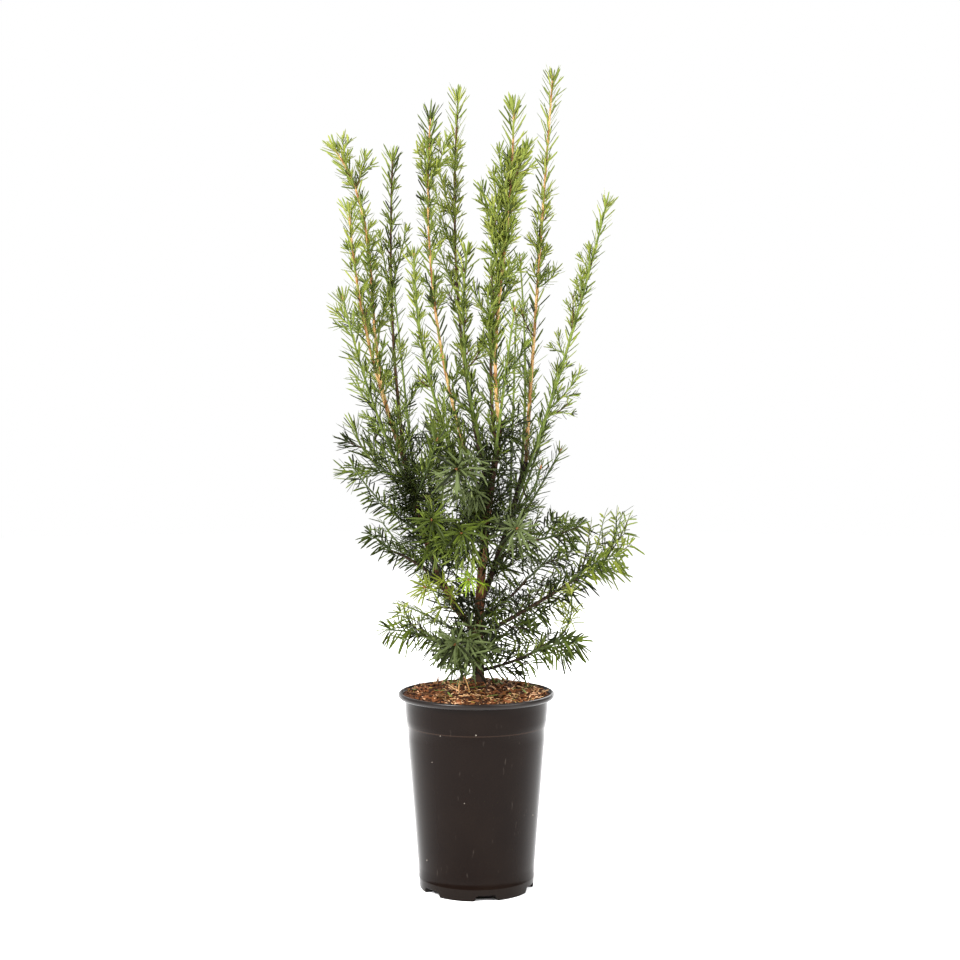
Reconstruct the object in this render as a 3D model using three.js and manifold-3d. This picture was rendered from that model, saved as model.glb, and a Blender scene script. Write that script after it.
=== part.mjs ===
// Potted hicksii yew: a young upright yew with one short trunk, two side stems, low boughs and tall
// shoots full of needles, growing in a round black nursery pot that is filled with bark compost.
// Millimetres, +Z up, -Y to the front. The origin is the middle of the pot's flat underside.

import * as THREE from 'three';
import { mergeVertices } from 'three/addons/utils/BufferGeometryUtils.js';
import Module from 'manifold-3d';

const wasm = await Module();
wasm.setup();

// Clearance between pieces that touch on the real plant
const GAP = 0.3;

// Nursery pot: a tapering wall, a wider rolled lip and six drain notches round the foot
const POT = {
  height: 213,
  footRadius: 62.3,
  shoulderRadius: 79,
  rimRadius: 85,
  mouthRadius: 82.5,
  lipHeight: 6.5,
  wall: 1.6,
  floor: 2.6,
  footRound: 1.6,
  bandTop: 13,
  bandStep: 0.5,
  ringHeight: 178,
  ringStep: 0.6,
  segments: 32,
};
const NOTCH = { count: 6, first: -80.4, footWidth: 27, topWidth: 19, height: 6.5, inner: 53, outer: 68 };

// Compost: filled to just below the lip at the wall, heaped to a low crown under the trunk. Its lumps
// keep a margin from the wall and from the flat under the trunk.
const SOIL = { edgeHeight: 207, crownHeight: 221, flatRadius: 15, lumps: 2.2, margin: 1, rings: 3 };

// Needles and twigs, each drawn larger than life so that fewer of them fill the crown. A needle is
// widest at a share of its length, and the first one of a row stands a share of the spacing along.
const NEEDLE = { length: 32, width: 7, thickness: 1.6, widest: 0.42, angle: 44, first: 0.3 };
const LEADER = { radius: 2.5, tipRadius: 1.4, step: 48, bare: 0.1, kept: 0.02 };
const TWIG = {
  radius: 1.9,
  tipRadius: 1.1,
  angle: 43,
  arch: 0.07,
  bare: 0.3,
  stagger: 0.6,
  swing: 0.5,
  longest: 1.2,
  shortening: 0.55,
  sizes: [0.85, 1.15],
};
const ROSETTE = { share: 0.97, angle: 30, size: 0.7 };
const TURN_JITTER = 0.5;

// Every stem of a mass has three flats. On a flat shoot two of them face left and right, a little up.
const FLATS = 3;
const FLAT_STEP = (2 * Math.PI) / FLATS;
const FIRST_FLAT = Math.PI / 6;
const CLEAR_MARGIN = 0.4;
const SOIL_CLEARANCE = 4;

const GOLDEN_ANGLE = Math.PI * (3 - Math.sqrt(5));
const UP = new THREE.Vector3(0, 0, 1);
const AHEAD = new THREE.Vector3(0, 1, 0);
const UPRIGHT_LEAN = 0.7;

// What tells one random draw from another
const SEEDS = { shoot: 17, twig: 5, swing: 3, length: 7, needle: 11, lump: 31 };

// Trunk, stems and boughs. Each runs from a share of its carrier's length to its tip, and its middle
// stands off the straight line by the bow.
const LIMBS = [
  { name: 'trunk', foot: [2, 6], tip: [26, 0, 500], bow: [-7, 0, -3], radii: [6.2, 3.2], sides: 9 },
  { name: 'stem_left', on: 'trunk', at: 0.2, tip: [-82, 8, 481], bow: [-4, -8, -29], radii: [4.2, 2.8] },
  { name: 'stem_right', on: 'trunk', at: 0.34, tip: [54, 8, 463], bow: [-3, 6, -23], radii: [4, 2.8] },
  {
    name: 'bough_left', on: 'stem_left', at: 0.4, tip: [-92, -20, 368],
    bow: [-3, 0, 6], radii: [2.2, 1.9],
  },
  { name: 'bough_left_foot', on: 'trunk', at: 0.1, tip: [-48, -20, 272], bow: [0, 0, -2], radii: [2.4, 2] },
  { name: 'bough_right', on: 'trunk', at: 0.19, tip: [110, 8, 336], bow: [6, 0, 2], radii: [3, 2.3] },
  {
    name: 'bough_right_foot', on: 'trunk', at: 0.05, tip: [75, -22, 267],
    bow: [3, 0, -3], radii: [2.4, 2],
  },
  {
    name: 'bough_right_high', on: 'stem_right', at: 0.42, tip: [69, 2, 379],
    bow: [-3, 0, 3], radii: [2.4, 2],
  },
  {
    name: 'bough_back_left', on: 'stem_left', at: 0.35, tip: [-66, 52, 352],
    bow: [0, 4, -3], radii: [2.4, 2],
  },
  { name: 'bough_back', on: 'trunk', at: 0.15, tip: [-8, 66, 288], bow: [0, 4, -4], radii: [2.4, 2] },
  { name: 'bough_back_right', on: 'trunk', at: 0.27, tip: [56, 58, 330], bow: [4, 4, -3], radii: [2.4, 2] },
];
const FLARE = { radius: 3.4, height: 16, below: 3, groundBlock: 128 };
const LIMB_SIDES = 7;
const LIMB_STEP = 24;

// Ways of growing: how far the shoot's space reaches from its own stem, how many side twigs it
// carries and between which shares of its length, and how close the needles stand
const TALL = { reach: 54, twigs: 3, twigLength: 46, from: 0.12, to: 0.62, spacing: 23, flat: false };
const SHORT = { reach: 50, twigs: 2, twigLength: 42, from: 0.15, to: 0.6, spacing: 19, flat: false };
const FEATHER = { reach: 50, twigs: 2, twigLength: 40, from: 0.2, to: 0.6, spacing: 17, flat: true };
const TUFT = { reach: 42, twigs: 1, twigLength: 30, from: 0.5, to: 0.7, spacing: 12, flat: false };

// Foliage masses, by their way of growing: the limb that carries each and the share of that limb's
// length, its tip, its bow and its colour. The shoot furthest left nods over at its tip.
const TALL_SHOOTS = [
  { name: 'shoot_centre', on: 'trunk', at: 1, tip: [41, -48, 842], bow: [-5, -10, -17] },
  { name: 'shoot_centre_back', on: 'trunk', at: 0.92, tip: [49, 24, 794], bow: [-17, 4, -13] },
  { name: 'shoot_middle_short', on: 'trunk', at: 0.8, tip: [-10, -16, 688], bow: [-14, -6, -3] },
  { name: 'shoot_middle_back', on: 'trunk', at: 0.74, tip: [-21, 100, 877], bow: [-18, 14, -12] },
  { name: 'shoot_middle_left', on: 'trunk', at: 0.68, tip: [-50, 50, 845], bow: [-20, 6, -11] },
  {
    name: 'shoot_front_left', on: 'trunk', at: 0.6, tip: [-64, -80, 676],
    bow: [-19, -14, 9], tint: 'light',
  },
  {
    name: 'shoot_left_nodding', on: 'stem_left', at: 1, tip: [-156, 22, 806],
    bow: [8, 4, -1], nod: [31, 0, 24],
  },
  { name: 'shoot_left_outer', on: 'stem_left', at: 0.93, tip: [-135, -30, 730], bow: [-14, -8, 5] },
  { name: 'shoot_left_inner', on: 'stem_left', at: 0.9, tip: [-91, 62, 802], bow: [-5, 14, -12] },
  { name: 'shoot_right_tallest', on: 'stem_right', at: 1, tip: [87, 38, 885], bow: [-5, 6, -6] },
  { name: 'shoot_right_outer', on: 'stem_right', at: 0.8, tip: [144, -20, 739], bow: [2, -4, -15] },
];
const SHORT_SHOOTS = [
  {
    name: 'shoot_centre_front', on: 'trunk', at: 0.86, tip: [39, -88, 620],
    bow: [0, -14, 5], tint: 'light',
  },
  { name: 'shoot_left_low', on: 'stem_left', at: 0.84, tip: [-140, -50, 635], bow: [-10, -6, -15] },
  { name: 'shoot_right_inner', on: 'stem_right', at: 0.9, tip: [49, 72, 690], bow: [6, 10, -6] },
  { name: 'shoot_back_left', on: 'stem_left', at: 0.75, tip: [-96, 112, 668], bow: [0, 20, -10] },
  { name: 'shoot_back_right', on: 'stem_right', at: 0.7, tip: [46, 116, 630], bow: [0, 22, -8] },
  { name: 'shoot_back_outer', on: 'stem_right', at: 0.6, tip: [92, 84, 566], bow: [4, 8, -8] },
  { name: 'fan_left_upper', on: 'stem_left', at: 0.88, tip: [-134, 20, 500], bow: [-8, 0, -10] },
  {
    name: 'spray_upper_left', on: 'stem_left', at: 0.8, tip: [-41, -70, 487],
    bow: [0, -4, -4], tint: 'dark',
  },
  {
    name: 'spray_right_shoulder', on: 'stem_right', at: 0.72, tip: [78, -48, 460],
    bow: [4, 0, -4], tint: 'dark',
  },
  { name: 'spray_back_high', on: 'trunk', at: 0.56, tip: [10, 102, 470], bow: [0, 6, -4], tint: 'dark' },
  { name: 'spray_back_left', on: 'stem_left', at: 0.6, tip: [-52, 92, 500], bow: [0, 8, -6], tint: 'dark' },
  {
    name: 'spray_back_right', on: 'stem_right', at: 0.52, tip: [94, 60, 474],
    bow: [0, 4, -4], tint: 'dark',
  },
];
const FEATHERS = [
  {
    name: 'fan_left_lower', on: 'stem_left', at: 0.66, tip: [-134, -14, 460],
    bow: [-4, 0, -6], tint: 'dark',
  },
  { name: 'feather_left', on: 'bough_left', at: 1, tip: [-114, -26, 385], bow: [0, 0, 2] },
  { name: 'feather_left_foot', on: 'bough_left_foot', at: 1, tip: [-93, -40, 285], bow: [0, 0, 3] },
  { name: 'feather_right_high', on: 'bough_right_high', at: 1, tip: [112, 4, 394], bow: [0, 0, -2] },
  {
    name: 'feather_right_upper', on: 'bough_right', at: 1, tip: [152, 0, 404],
    bow: [12, 0, -10], tint: 'light',
  },
  {
    name: 'feather_right_lower', on: 'bough_right', at: 0.9, tip: [154, -12, 352],
    bow: [0, 0, 5], tint: 'light',
  },
  {
    name: 'feather_right_foot', on: 'bough_right_foot', at: 0.76, tip: [108, -38, 272],
    bow: [0, -4, 4], tint: 'dark',
  },
  { name: 'feather_back_left', on: 'bough_back_left', at: 1, tip: [-108, 92, 392], bow: [0, 0, -4] },
  { name: 'feather_back', on: 'bough_back', at: 1, tip: [-12, 118, 318], bow: [0, 0, -4] },
  { name: 'feather_back_right', on: 'bough_back_right', at: 1, tip: [98, 100, 372], bow: [0, 0, -4] },
  { name: 'feather_left_back_foot', on: 'trunk', at: 0.14, tip: [-84, 60, 300], bow: [0, 0, 6] },
  { name: 'feather_right_back_foot', on: 'trunk', at: 0.11, tip: [72, 74, 286], bow: [0, 0, 6] },
];
const TUFTS = [
  {
    name: 'tuft_left_bright', on: 'stem_left', at: 0.22, tip: [-54, -52, 332],
    bow: [0, 0, 4], tint: 'bright',
  },
  { name: 'tuft_front_bright', on: 'trunk', at: 0.4, tip: [-8, -72, 342], bow: [0, 0, 3], tint: 'bright' },
  {
    name: 'tuft_right_foot', on: 'bough_right_foot', at: 1, tip: [101, -30, 326],
    bow: [10, 0, -8], tint: 'bright',
  },
  { name: 'spray_front_low', on: 'trunk', at: 0.09, tip: [-22, -84, 276], bow: [0, 0, 12], tint: 'blue' },
  { name: 'spray_front_star', on: 'trunk', at: 0.7, tip: [-20, -106, 458], bow: [0, 0, 10], tint: 'blue' },
  {
    name: 'spray_front_left', on: 'stem_left', at: 0.5, tip: [-46, -85, 405],
    bow: [0, 0, 6], tint: 'dark',
  },
  { name: 'spray_front_middle', on: 'trunk', at: 0.52, tip: [-15, -92, 392], bow: [0, 0, 6], tint: 'dark' },
  {
    name: 'spray_front_right', on: 'stem_right', at: 0.36, tip: [47, -84, 395],
    bow: [0, 0, 4], tint: 'blue',
  },
];
const growing = (habit, rows) => rows.map((row) => ({ nod: [0, 0, 0], tint: 'mid', habit, ...row }));
const MASSES = [
  ...growing(TALL, TALL_SHOOTS),
  ...growing(SHORT, SHORT_SHOOTS),
  ...growing(FEATHER, FEATHERS),
  ...growing(TUFT, TUFTS),
];

const COLOURS = { bright: 0x8fb83a, light: 0x7d9c4a, mid: 0x5f8238, dark: 0x3c5a2a, blue: 0x5e7e5a };
const finish = (color, roughness) => new THREE.MeshStandardMaterial({ color, roughness, metalness: 0 });
const POT_PLASTIC = finish(0x34302c, 0.5);
const COMPOST = finish(0x5a4230, 0.95);
const BARK = finish(0x6b4433, 0.85);

const WELD = 1e-4;
const PARALLEL = 1e-9;
const vector = ([x, y, z]) => new THREE.Vector3(x, y, z);
const radians = THREE.MathUtils.degToRad;
const { clamp, lerp } = THREE.MathUtils;

// A number from 0 to 1 that depends only on its seed
function chance(seed) {
  const value = Math.sin(seed * 12.9898) * 43758.5453;
  return value - Math.floor(value);
}

// Booleans

// One closed body with shared corners, as a solid that can be joined and cut
function solidOf(geometry) {
  const bare = geometry.clone();
  bare.deleteAttribute('normal');
  bare.deleteAttribute('uv');
  const welded = mergeVertices(bare, WELD);
  const corners = welded.index.array;
  const triangles = [];
  for (let i = 0; i < corners.length; i += 3) {
    const [a, b, c] = corners.slice(i, i + 3);
    if (a !== b && b !== c && c !== a) {
      triangles.push(a, b, c);
    }
  }
  return new wasm.Manifold(new wasm.Mesh({
    numProp: 3,
    vertProperties: new Float32Array(welded.attributes.position.array),
    triVerts: new Uint32Array(triangles),
  }));
}

function geometryOf(solid) {
  const mesh = solid.getMesh();
  const geometry = new THREE.BufferGeometry();
  geometry.setAttribute('position', new THREE.BufferAttribute(new Float32Array(mesh.vertProperties), 3));
  geometry.setIndex(new THREE.BufferAttribute(new Uint32Array(mesh.triVerts), 1));
  geometry.computeVertexNormals();
  return geometry;
}

function largestBody(solid) {
  const bodies = solid.decompose();
  return bodies.reduce((best, body) => (body.volume() > best.volume() ? body : best));
}

// Curves and tubes

// From the base to the tip, with its middle moved by the bow and its upper bend moved by the nod
function curveOf(base, tip, bow, nod = new THREE.Vector3()) {
  const middle = base.clone().add(tip).multiplyScalar(0.5).addScaledVector(bow, 2);
  const first = base.clone().lerp(middle, 2 / 3);
  const second = tip.clone().lerp(middle, 2 / 3).add(nod);
  return new THREE.CubicBezierCurve3(base, first, second, tip);
}

// Where a curve is at a share of its parameter: the point, its direction, and two directions across
function frameAt(curve, share) {
  const lean = curve.v3.clone().sub(curve.v0).normalize();
  const reference = Math.abs(lean.z) > UPRIGHT_LEAN ? AHEAD : UP;
  const point = curve.getPoint(share);
  const along = curve.getTangent(share);
  const side = reference.clone().cross(along).normalize();
  const over = along.clone().cross(side);
  return { point, along, side, over };
}

// A closed tube along a curve from one share to another, with a radius for each share
function tube(curve, from, to, radiusAt, sides, steps, turn = 0) {
  const geometry = new THREE.CylinderGeometry(1, 1, 1, sides, steps, false, turn);
  const place = geometry.attributes.position;
  for (let i = 0; i < place.count; i += 1) {
    const share = from + (to - from) * (place.getY(i) + 0.5);
    const { point, along, side, over } = frameAt(curve, clamp(share, 0, 1));
    const past = (share - clamp(share, 0, 1)) * curve.getLength();
    const radius = radiusAt(share);
    point.addScaledVector(along, past);
    point.addScaledVector(side, place.getZ(i) * radius);
    point.addScaledVector(over, place.getX(i) * radius);
    place.setXYZ(i, point.x, point.y, point.z);
  }
  return geometry;
}

// Pot

function wallRadius(height) {
  const share = height / (POT.height - POT.lipHeight);
  return lerp(POT.footRadius, POT.shoulderRadius, share);
}

// Half of the pot's section, from the middle of the underside up the outside and down the inside
function potProfile() {
  const lipFoot = POT.height - POT.lipHeight;
  const shelf = lipFoot + POT.wall;
  return [
    [0, 0],
    [POT.footRadius - POT.footRound, 0],
    [POT.footRadius, POT.footRound],
    [wallRadius(POT.bandTop), POT.bandTop],
    [wallRadius(POT.bandTop) - POT.bandStep, POT.bandTop + POT.bandStep],
    [wallRadius(POT.ringHeight) - POT.ringStep, POT.ringHeight],
    [wallRadius(POT.ringHeight), POT.ringHeight + POT.ringStep],
    [POT.shoulderRadius, lipFoot],
    [POT.rimRadius - POT.wall / 2, lipFoot],
    [POT.rimRadius, lipFoot + POT.wall / 2],
    [POT.rimRadius, POT.height - POT.wall / 2],
    [POT.rimRadius - POT.wall / 2, POT.height],
    [POT.mouthRadius, POT.height],
    [POT.mouthRadius - POT.wall / 2, shelf],
    [POT.shoulderRadius - POT.wall, shelf],
    [wallRadius(POT.floor) - POT.wall, POT.floor],
    [0, POT.floor],
  ].map(([radius, height]) => new THREE.Vector2(radius, height));
}

function lathe(profile) {
  return new THREE.LatheGeometry(profile, POT.segments).rotateX(Math.PI / 2);
}

// One drain notch: a trapezium through the foot of the wall and the edge of the floor
function notchCutter(turn) {
  const outline = new THREE.Shape();
  outline.moveTo(-NOTCH.footWidth / 2, -NOTCH.height);
  outline.lineTo(NOTCH.footWidth / 2, -NOTCH.height);
  outline.lineTo(NOTCH.footWidth / 2, 0);
  outline.lineTo(NOTCH.topWidth / 2, NOTCH.height);
  outline.lineTo(-NOTCH.topWidth / 2, NOTCH.height);
  outline.lineTo(-NOTCH.footWidth / 2, 0);
  const depth = NOTCH.outer - NOTCH.inner;
  const cutter = new THREE.ExtrudeGeometry(outline, { depth, bevelEnabled: false });
  cutter.rotateX(Math.PI / 2);
  cutter.translate(0, NOTCH.outer, 0);
  cutter.rotateZ(radians(turn - 90));
  return solidOf(cutter);
}

function makePot() {
  let pot = solidOf(lathe(potProfile()));
  for (let i = 0; i < NOTCH.count; i += 1) {
    pot = pot.subtract(notchCutter(NOTCH.first + (360 / NOTCH.count) * i));
  }
  return geometryOf(pot);
}

// Compost: fills the pot just clear of its wall and floor; its lumpy top is flat under the trunk
function makeSoil() {
  const bottom = POT.floor + GAP;
  const edge = wallRadius(SOIL.edgeHeight) - POT.wall - GAP;
  const profile = [[0, bottom], [wallRadius(bottom) - POT.wall - GAP, bottom], [edge, SOIL.edgeHeight]];
  for (let ring = 1; ring <= SOIL.rings; ring += 1) {
    const share = ring / SOIL.rings;
    const rise = Math.sin((share * Math.PI) / 2);
    profile.push([lerp(edge, SOIL.flatRadius, share), lerp(SOIL.edgeHeight, SOIL.crownHeight, rise)]);
  }
  profile.push([0, SOIL.crownHeight]);
  const geometry = lathe(profile.map(([radius, height]) => new THREE.Vector2(radius, height)));
  const place = geometry.attributes.position;
  for (let i = 0; i < place.count; i += 1) {
    const [x, y, z] = [place.getX(i), place.getY(i), place.getZ(i)];
    if (z > SOIL.edgeHeight + SOIL.margin && Math.hypot(x, y) > SOIL.flatRadius + SOIL.margin) {
      const spot = Math.round(x * 10) + SEEDS.lump * Math.round(y * 10);
      place.setZ(i, z + SOIL.lumps * (chance(spot) - 0.5));
    }
  }
  return geometryOf(solidOf(geometry));
}

// Trunk, stems and boughs

const curves = {};
const grown = {};
const taken = [];

// Keeps a straight stretch of wood or needle, so that other pieces stay clear of it
function keep(owner, a, b, radius) {
  taken.push({ owner, a, b, radius });
}

function keepCurve(owner, curve, from, to, radiusAt, steps) {
  for (let i = 0; i < steps; i += 1) {
    const first = lerp(from, to, i / steps);
    const second = lerp(from, to, (i + 1) / steps);
    keep(owner, curve.getPoint(first), curve.getPoint(second), radiusAt(first));
  }
}

function baseOf(row) {
  if (row.foot) {
    return new THREE.Vector3(row.foot[0], row.foot[1], SOIL.crownHeight + GAP);
  }
  return curves[row.on].getPoint(row.at);
}

// A block whose top is the level cut under the trunk
function groundUnder(foot) {
  const size = FLARE.groundBlock;
  return solidOf(new THREE.BoxGeometry(size, size, size).translate(foot.x, foot.y, foot.z - size / 2));
}

function makeLimb(row) {
  const curve = curveOf(baseOf(row), vector(row.tip), vector(row.bow));
  const length = curve.getLength();
  const flare = row.foot ? FLARE.radius : 0;
  const radiusAt = (share) => {
    const spread = flare * clamp(1 - (share * length) / FLARE.height, 0, 1) ** 2;
    return lerp(row.radii[0], row.radii[1], share) + spread;
  };
  const steps = Math.ceil(length / LIMB_STEP);
  const sides = row.sides ?? LIMB_SIDES;
  const start = row.foot ? -FLARE.below / length : 0;
  const whole = solidOf(tube(curve, start, 1, radiusAt, sides, steps));
  const solid = largestBody(whole.subtract(row.foot ? groundUnder(curve.v0) : grown[row.on]));
  curves[row.name] = curve;
  grown[row.name] = solidOf(tube(curve, 0, 1 + GAP / length, (share) => radiusAt(share) + GAP, sides, steps));
  keepCurve(row.name, curve, 0, 1, radiusAt, 2 * steps);
  return geometryOf(solid);
}

// Needles, side twigs and shoots

// A needle is a tetrahedron: its keel runs from root to tip and its other edge lies across the top,
// at the widest place. The matrix carries a tetrahedron with corners at plus and minus 1 onto it.
const NEEDLE_BODY = new THREE.TetrahedronGeometry(Math.sqrt(3));

function needle(root, along, across, length) {
  const above = across.clone().cross(along);
  const keel = along.clone().multiplyScalar(-length / 4);
  const spread = across.clone().multiplyScalar(NEEDLE.width / 4);
  const x = keel.clone().add(spread);
  const y = keel.clone().sub(spread);
  const z = along.clone().multiplyScalar((0.5 - NEEDLE.widest) * length);
  z.addScaledVector(above, -NEEDLE.thickness).multiplyScalar(0.5);
  const centre = root.clone().addScaledVector(along, length / 2).sub(z);
  const matrix = new THREE.Matrix4().makeBasis(x, y, z).setPosition(centre);
  return solidOf(NEEDLE_BODY.clone().applyMatrix4(matrix));
}

// Shortest distance between two straight stretches
function distance(a, b, c, d) {
  const u = b.clone().sub(a);
  const v = d.clone().sub(c);
  const w = a.clone().sub(c);
  const uu = u.dot(u);
  const uv = u.dot(v);
  const vv = v.dot(v);
  const spread = uu * vv - uv * uv;
  let s = spread > PARALLEL ? clamp((uv * v.dot(w) - vv * u.dot(w)) / spread, 0, 1) : 0;
  const t = clamp((uv * s + v.dot(w)) / vv, 0, 1);
  s = clamp((uv * t - u.dot(w)) / uu, 0, 1);
  return a.clone().addScaledVector(u, s).distanceTo(c.clone().addScaledVector(v, t));
}

function isClear(owner, a, b, radius) {
  if (Math.min(a.z, b.z) < SOIL.crownHeight + SOIL_CLEARANCE) {
    return false;
  }
  return taken.every((other) => other.owner === owner
    || distance(a, b, other.a, other.b) > radius + other.radius + CLEAR_MARGIN);
}

// A mass's space is a round sleeve along its own stem
function isInSpace(leader, tip) {
  const { reach } = leader.row.habit;
  return leader.curve.getPoints(2 * leader.steps).some((point) => point.distanceTo(tip) < reach);
}

// The stem of each mass is placed first, so that no needle of an earlier mass is in its way
function placeLeader(row) {
  const curve = curveOf(baseOf(row), vector(row.tip), vector(row.bow), vector(row.nod));
  const radiusAt = (share) => lerp(LEADER.radius, LEADER.tipRadius, share);
  const steps = Math.max(2, Math.ceil(curve.getLength() / LEADER.step));
  keepCurve(row.name, curve, LEADER.kept, 1, radiusAt, steps);
  return { row, curve, radiusAt, steps, seed: SEEDS.shoot * row.name.length + row.tip[2] };
}

// Side twigs: turned by the golden angle round an upright shoot, left and right of a flat one
function placeTwigs(leader) {
  const { row, curve, seed } = leader;
  const { twigs, from, to, twigLength, flat } = row.habit;
  leader.twigs = [];
  for (let i = 0; i < twigs; i += 1) {
    const share = from + ((to - from) * (i + TWIG.stagger * chance(seed + i))) / twigs;
    const { point, along, side, over } = frameAt(curve, share);
    const swing = TWIG.swing * (chance(seed + SEEDS.swing * i) - 0.5);
    const turn = flat ? i * Math.PI + swing : seed + i * GOLDEN_ANGLE;
    const out = side.clone().multiplyScalar(Math.cos(turn)).addScaledVector(over, Math.sin(turn));
    const size = lerp(...TWIG.sizes, chance(seed + SEEDS.length * i));
    const length = twigLength * (TWIG.longest - TWIG.shortening * share) * size;
    const tip = point.clone().addScaledVector(along, length * Math.cos(radians(TWIG.angle)));
    tip.addScaledVector(out, length * Math.sin(radians(TWIG.angle)));
    const bow = out.clone().sub(along).multiplyScalar(TWIG.arch * length);
    const twig = curveOf(point, tip, bow);
    const middle = twig.getPoint(0.5);
    const lowerClear = isClear(row.name, point, middle, TWIG.radius);
    const upperClear = isClear(row.name, middle, tip, TWIG.radius);
    if (lowerClear && upperClear && isInSpace(leader, tip)) {
      leader.twigs.push(twig);
      keep(row.name, point, middle, TWIG.radius);
      keep(row.name, middle, tip, TWIG.radius);
    }
  }
}

// Needles along one stem, from a share of its length to its tip, with a small rosette at the tip.
// A stem has three flats, and each needle stands on the middle of one, turned a little at random.
function needlesAlong(leader, curve, from, seed) {
  const { habit, name } = leader.row;
  const length = curve.getLength();
  const count = Math.max(1, Math.round((length * (1 - from)) / habit.spacing));
  const found = [];
  const tryNeedle = (share, flat, angle, size) => {
    const { point, along, side, over } = frameAt(curve, share);
    const jitter = TURN_JITTER * (chance(seed + SEEDS.needle * share) - 0.5);
    const turn = flatTurn(habit, seed, flat) + jitter;
    const out = side.clone().multiplyScalar(Math.cos(turn)).addScaledVector(over, Math.sin(turn));
    const direction = along.clone().multiplyScalar(Math.cos(angle)).addScaledVector(out, Math.sin(angle));
    const across = along.clone().cross(out).normalize();
    const start = point.clone().addScaledVector(direction, LEADER.radius);
    const tip = point.clone().addScaledVector(direction, NEEDLE.length * size);
    if (isInSpace(leader, tip) && isClear(name, start, tip, NEEDLE.width / 2)) {
      found.push(needle(point, direction, across, NEEDLE.length * size));
      keep(name, start, tip, NEEDLE.width / 2);
    }
  };
  const ranks = habit.flat ? 2 : FLATS;
  for (let i = 0; i < count; i += 1) {
    const share = from + ((1 - from) * (i + NEEDLE.first)) / count;
    tryNeedle(share, i % ranks, radians(NEEDLE.angle), 1);
  }
  for (let i = 0; i < ranks; i += 1) {
    tryNeedle(ROSETTE.share, i, radians(ROSETTE.angle), ROSETTE.size);
  }
  return found;
}

function flatTurn(habit, seed, flat) {
  return (habit.flat ? FIRST_FLAT : seed) + flat * FLAT_STEP;
}

function makeMass(leader) {
  const { row, curve, radiusAt, steps, seed, twigs } = leader;
  const turnOf = (stemSeed) => flatTurn(row.habit, stemSeed, 0) - FLAT_STEP / 2;
  const pieces = [solidOf(tube(curve, 0, 1, radiusAt, FLATS, steps, turnOf(seed)))];
  pieces.push(...needlesAlong(leader, curve, LEADER.bare, seed));
  twigs.forEach((twig, i) => {
    const twigSeed = seed + SEEDS.twig * i;
    const twigRadius = (share) => lerp(TWIG.radius, TWIG.tipRadius, share);
    pieces.push(solidOf(tube(twig, 0, 1, twigRadius, FLATS, 1, turnOf(twigSeed))));
    pieces.push(...needlesAlong(leader, twig, TWIG.bare, twigSeed));
  });
  const joined = wasm.Manifold.union(pieces).subtract(grown[row.on]);
  return geometryOf(largestBody(joined));
}

// Whole plant

const plant = new THREE.Group();

function add(name, geometry, material) {
  const mesh = new THREE.Mesh(geometry, material);
  mesh.name = name;
  plant.add(mesh);
}

add('pot', makePot(), POT_PLASTIC);
add('soil', makeSoil(), COMPOST);
for (const row of LIMBS) {
  add(row.name, makeLimb(row), BARK);
}
const leaders = MASSES.map(placeLeader);
leaders.forEach(placeTwigs);
for (const leader of leaders) {
  add(leader.row.name, makeMass(leader), finish(COLOURS[leader.row.tint], 0.6));
}

export default plant;
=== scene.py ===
# %% [markdown]
# # A young yew in its nursery pot
# The plant is an upright yew: one short trunk, two side stems, low spreading boughs and a brush of
# tall shoots, each set all round with flat needles. It stands in a black blow-moulded pot that is
# filled with bark compost. The solids of the plant come first, as a fixed frame, and everything
# below is built in that same frame: +Z is up, the origin is the middle of the pot's underside, and
# the camera looks along +Y.

from collections import namedtuple

import bpy
import numpy as np
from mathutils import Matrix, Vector


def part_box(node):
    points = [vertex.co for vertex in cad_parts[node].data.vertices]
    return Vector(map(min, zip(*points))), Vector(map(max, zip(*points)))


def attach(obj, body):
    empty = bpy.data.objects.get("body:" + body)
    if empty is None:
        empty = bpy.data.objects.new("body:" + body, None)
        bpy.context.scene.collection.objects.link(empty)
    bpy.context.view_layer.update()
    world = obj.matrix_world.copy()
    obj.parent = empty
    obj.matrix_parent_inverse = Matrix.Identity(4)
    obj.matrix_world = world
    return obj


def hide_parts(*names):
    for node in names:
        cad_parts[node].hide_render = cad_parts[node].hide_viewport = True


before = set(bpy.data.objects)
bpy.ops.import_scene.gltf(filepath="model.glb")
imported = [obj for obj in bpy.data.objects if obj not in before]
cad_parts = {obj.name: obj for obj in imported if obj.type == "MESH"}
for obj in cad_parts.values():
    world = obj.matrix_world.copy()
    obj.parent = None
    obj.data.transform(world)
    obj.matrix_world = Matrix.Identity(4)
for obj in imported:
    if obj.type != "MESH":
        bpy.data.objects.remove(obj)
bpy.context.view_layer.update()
MM = 0.001

# %% [markdown]
# ## Small tools
# Sizes are written in millimetres, as a grower would give them, and colours as the hex values that
# a screen shows. One function turns hex into Blender's linear light, and one adds a shader node with
# its settings and links. Two more build on it: one grades a colour by noise, and one lays colours
# over each other, so that each finish further down reads as a short list.

# %% Colour and node helpers
def linear(colour):
    """Linear RGBA of an sRGB hex value: c / 12.92 under 0.04045, else ((c + 0.055) / 1.055)^2.4."""
    srgb = np.array([colour >> 16 & 255, colour >> 8 & 255, colour & 255]) / 255
    channels = np.where(srgb <= 0.04045, srgb / 12.92, ((srgb + 0.055) / 1.055) ** 2.4)
    return (*channels.tolist(), 1.0)


def add_node(tree, kind, inputs=None, **settings):
    """Adds one node. An input that is another node's socket is linked, and any other is set."""
    node = tree.nodes.new(kind)
    for name, value in settings.items():
        setattr(node, name, value)
    for name, value in (inputs or {}).items():
        if isinstance(value, bpy.types.NodeSocket):
            tree.links.new(value, node.inputs[name])
        else:
            node.inputs[name].default_value = value
    return node


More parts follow.
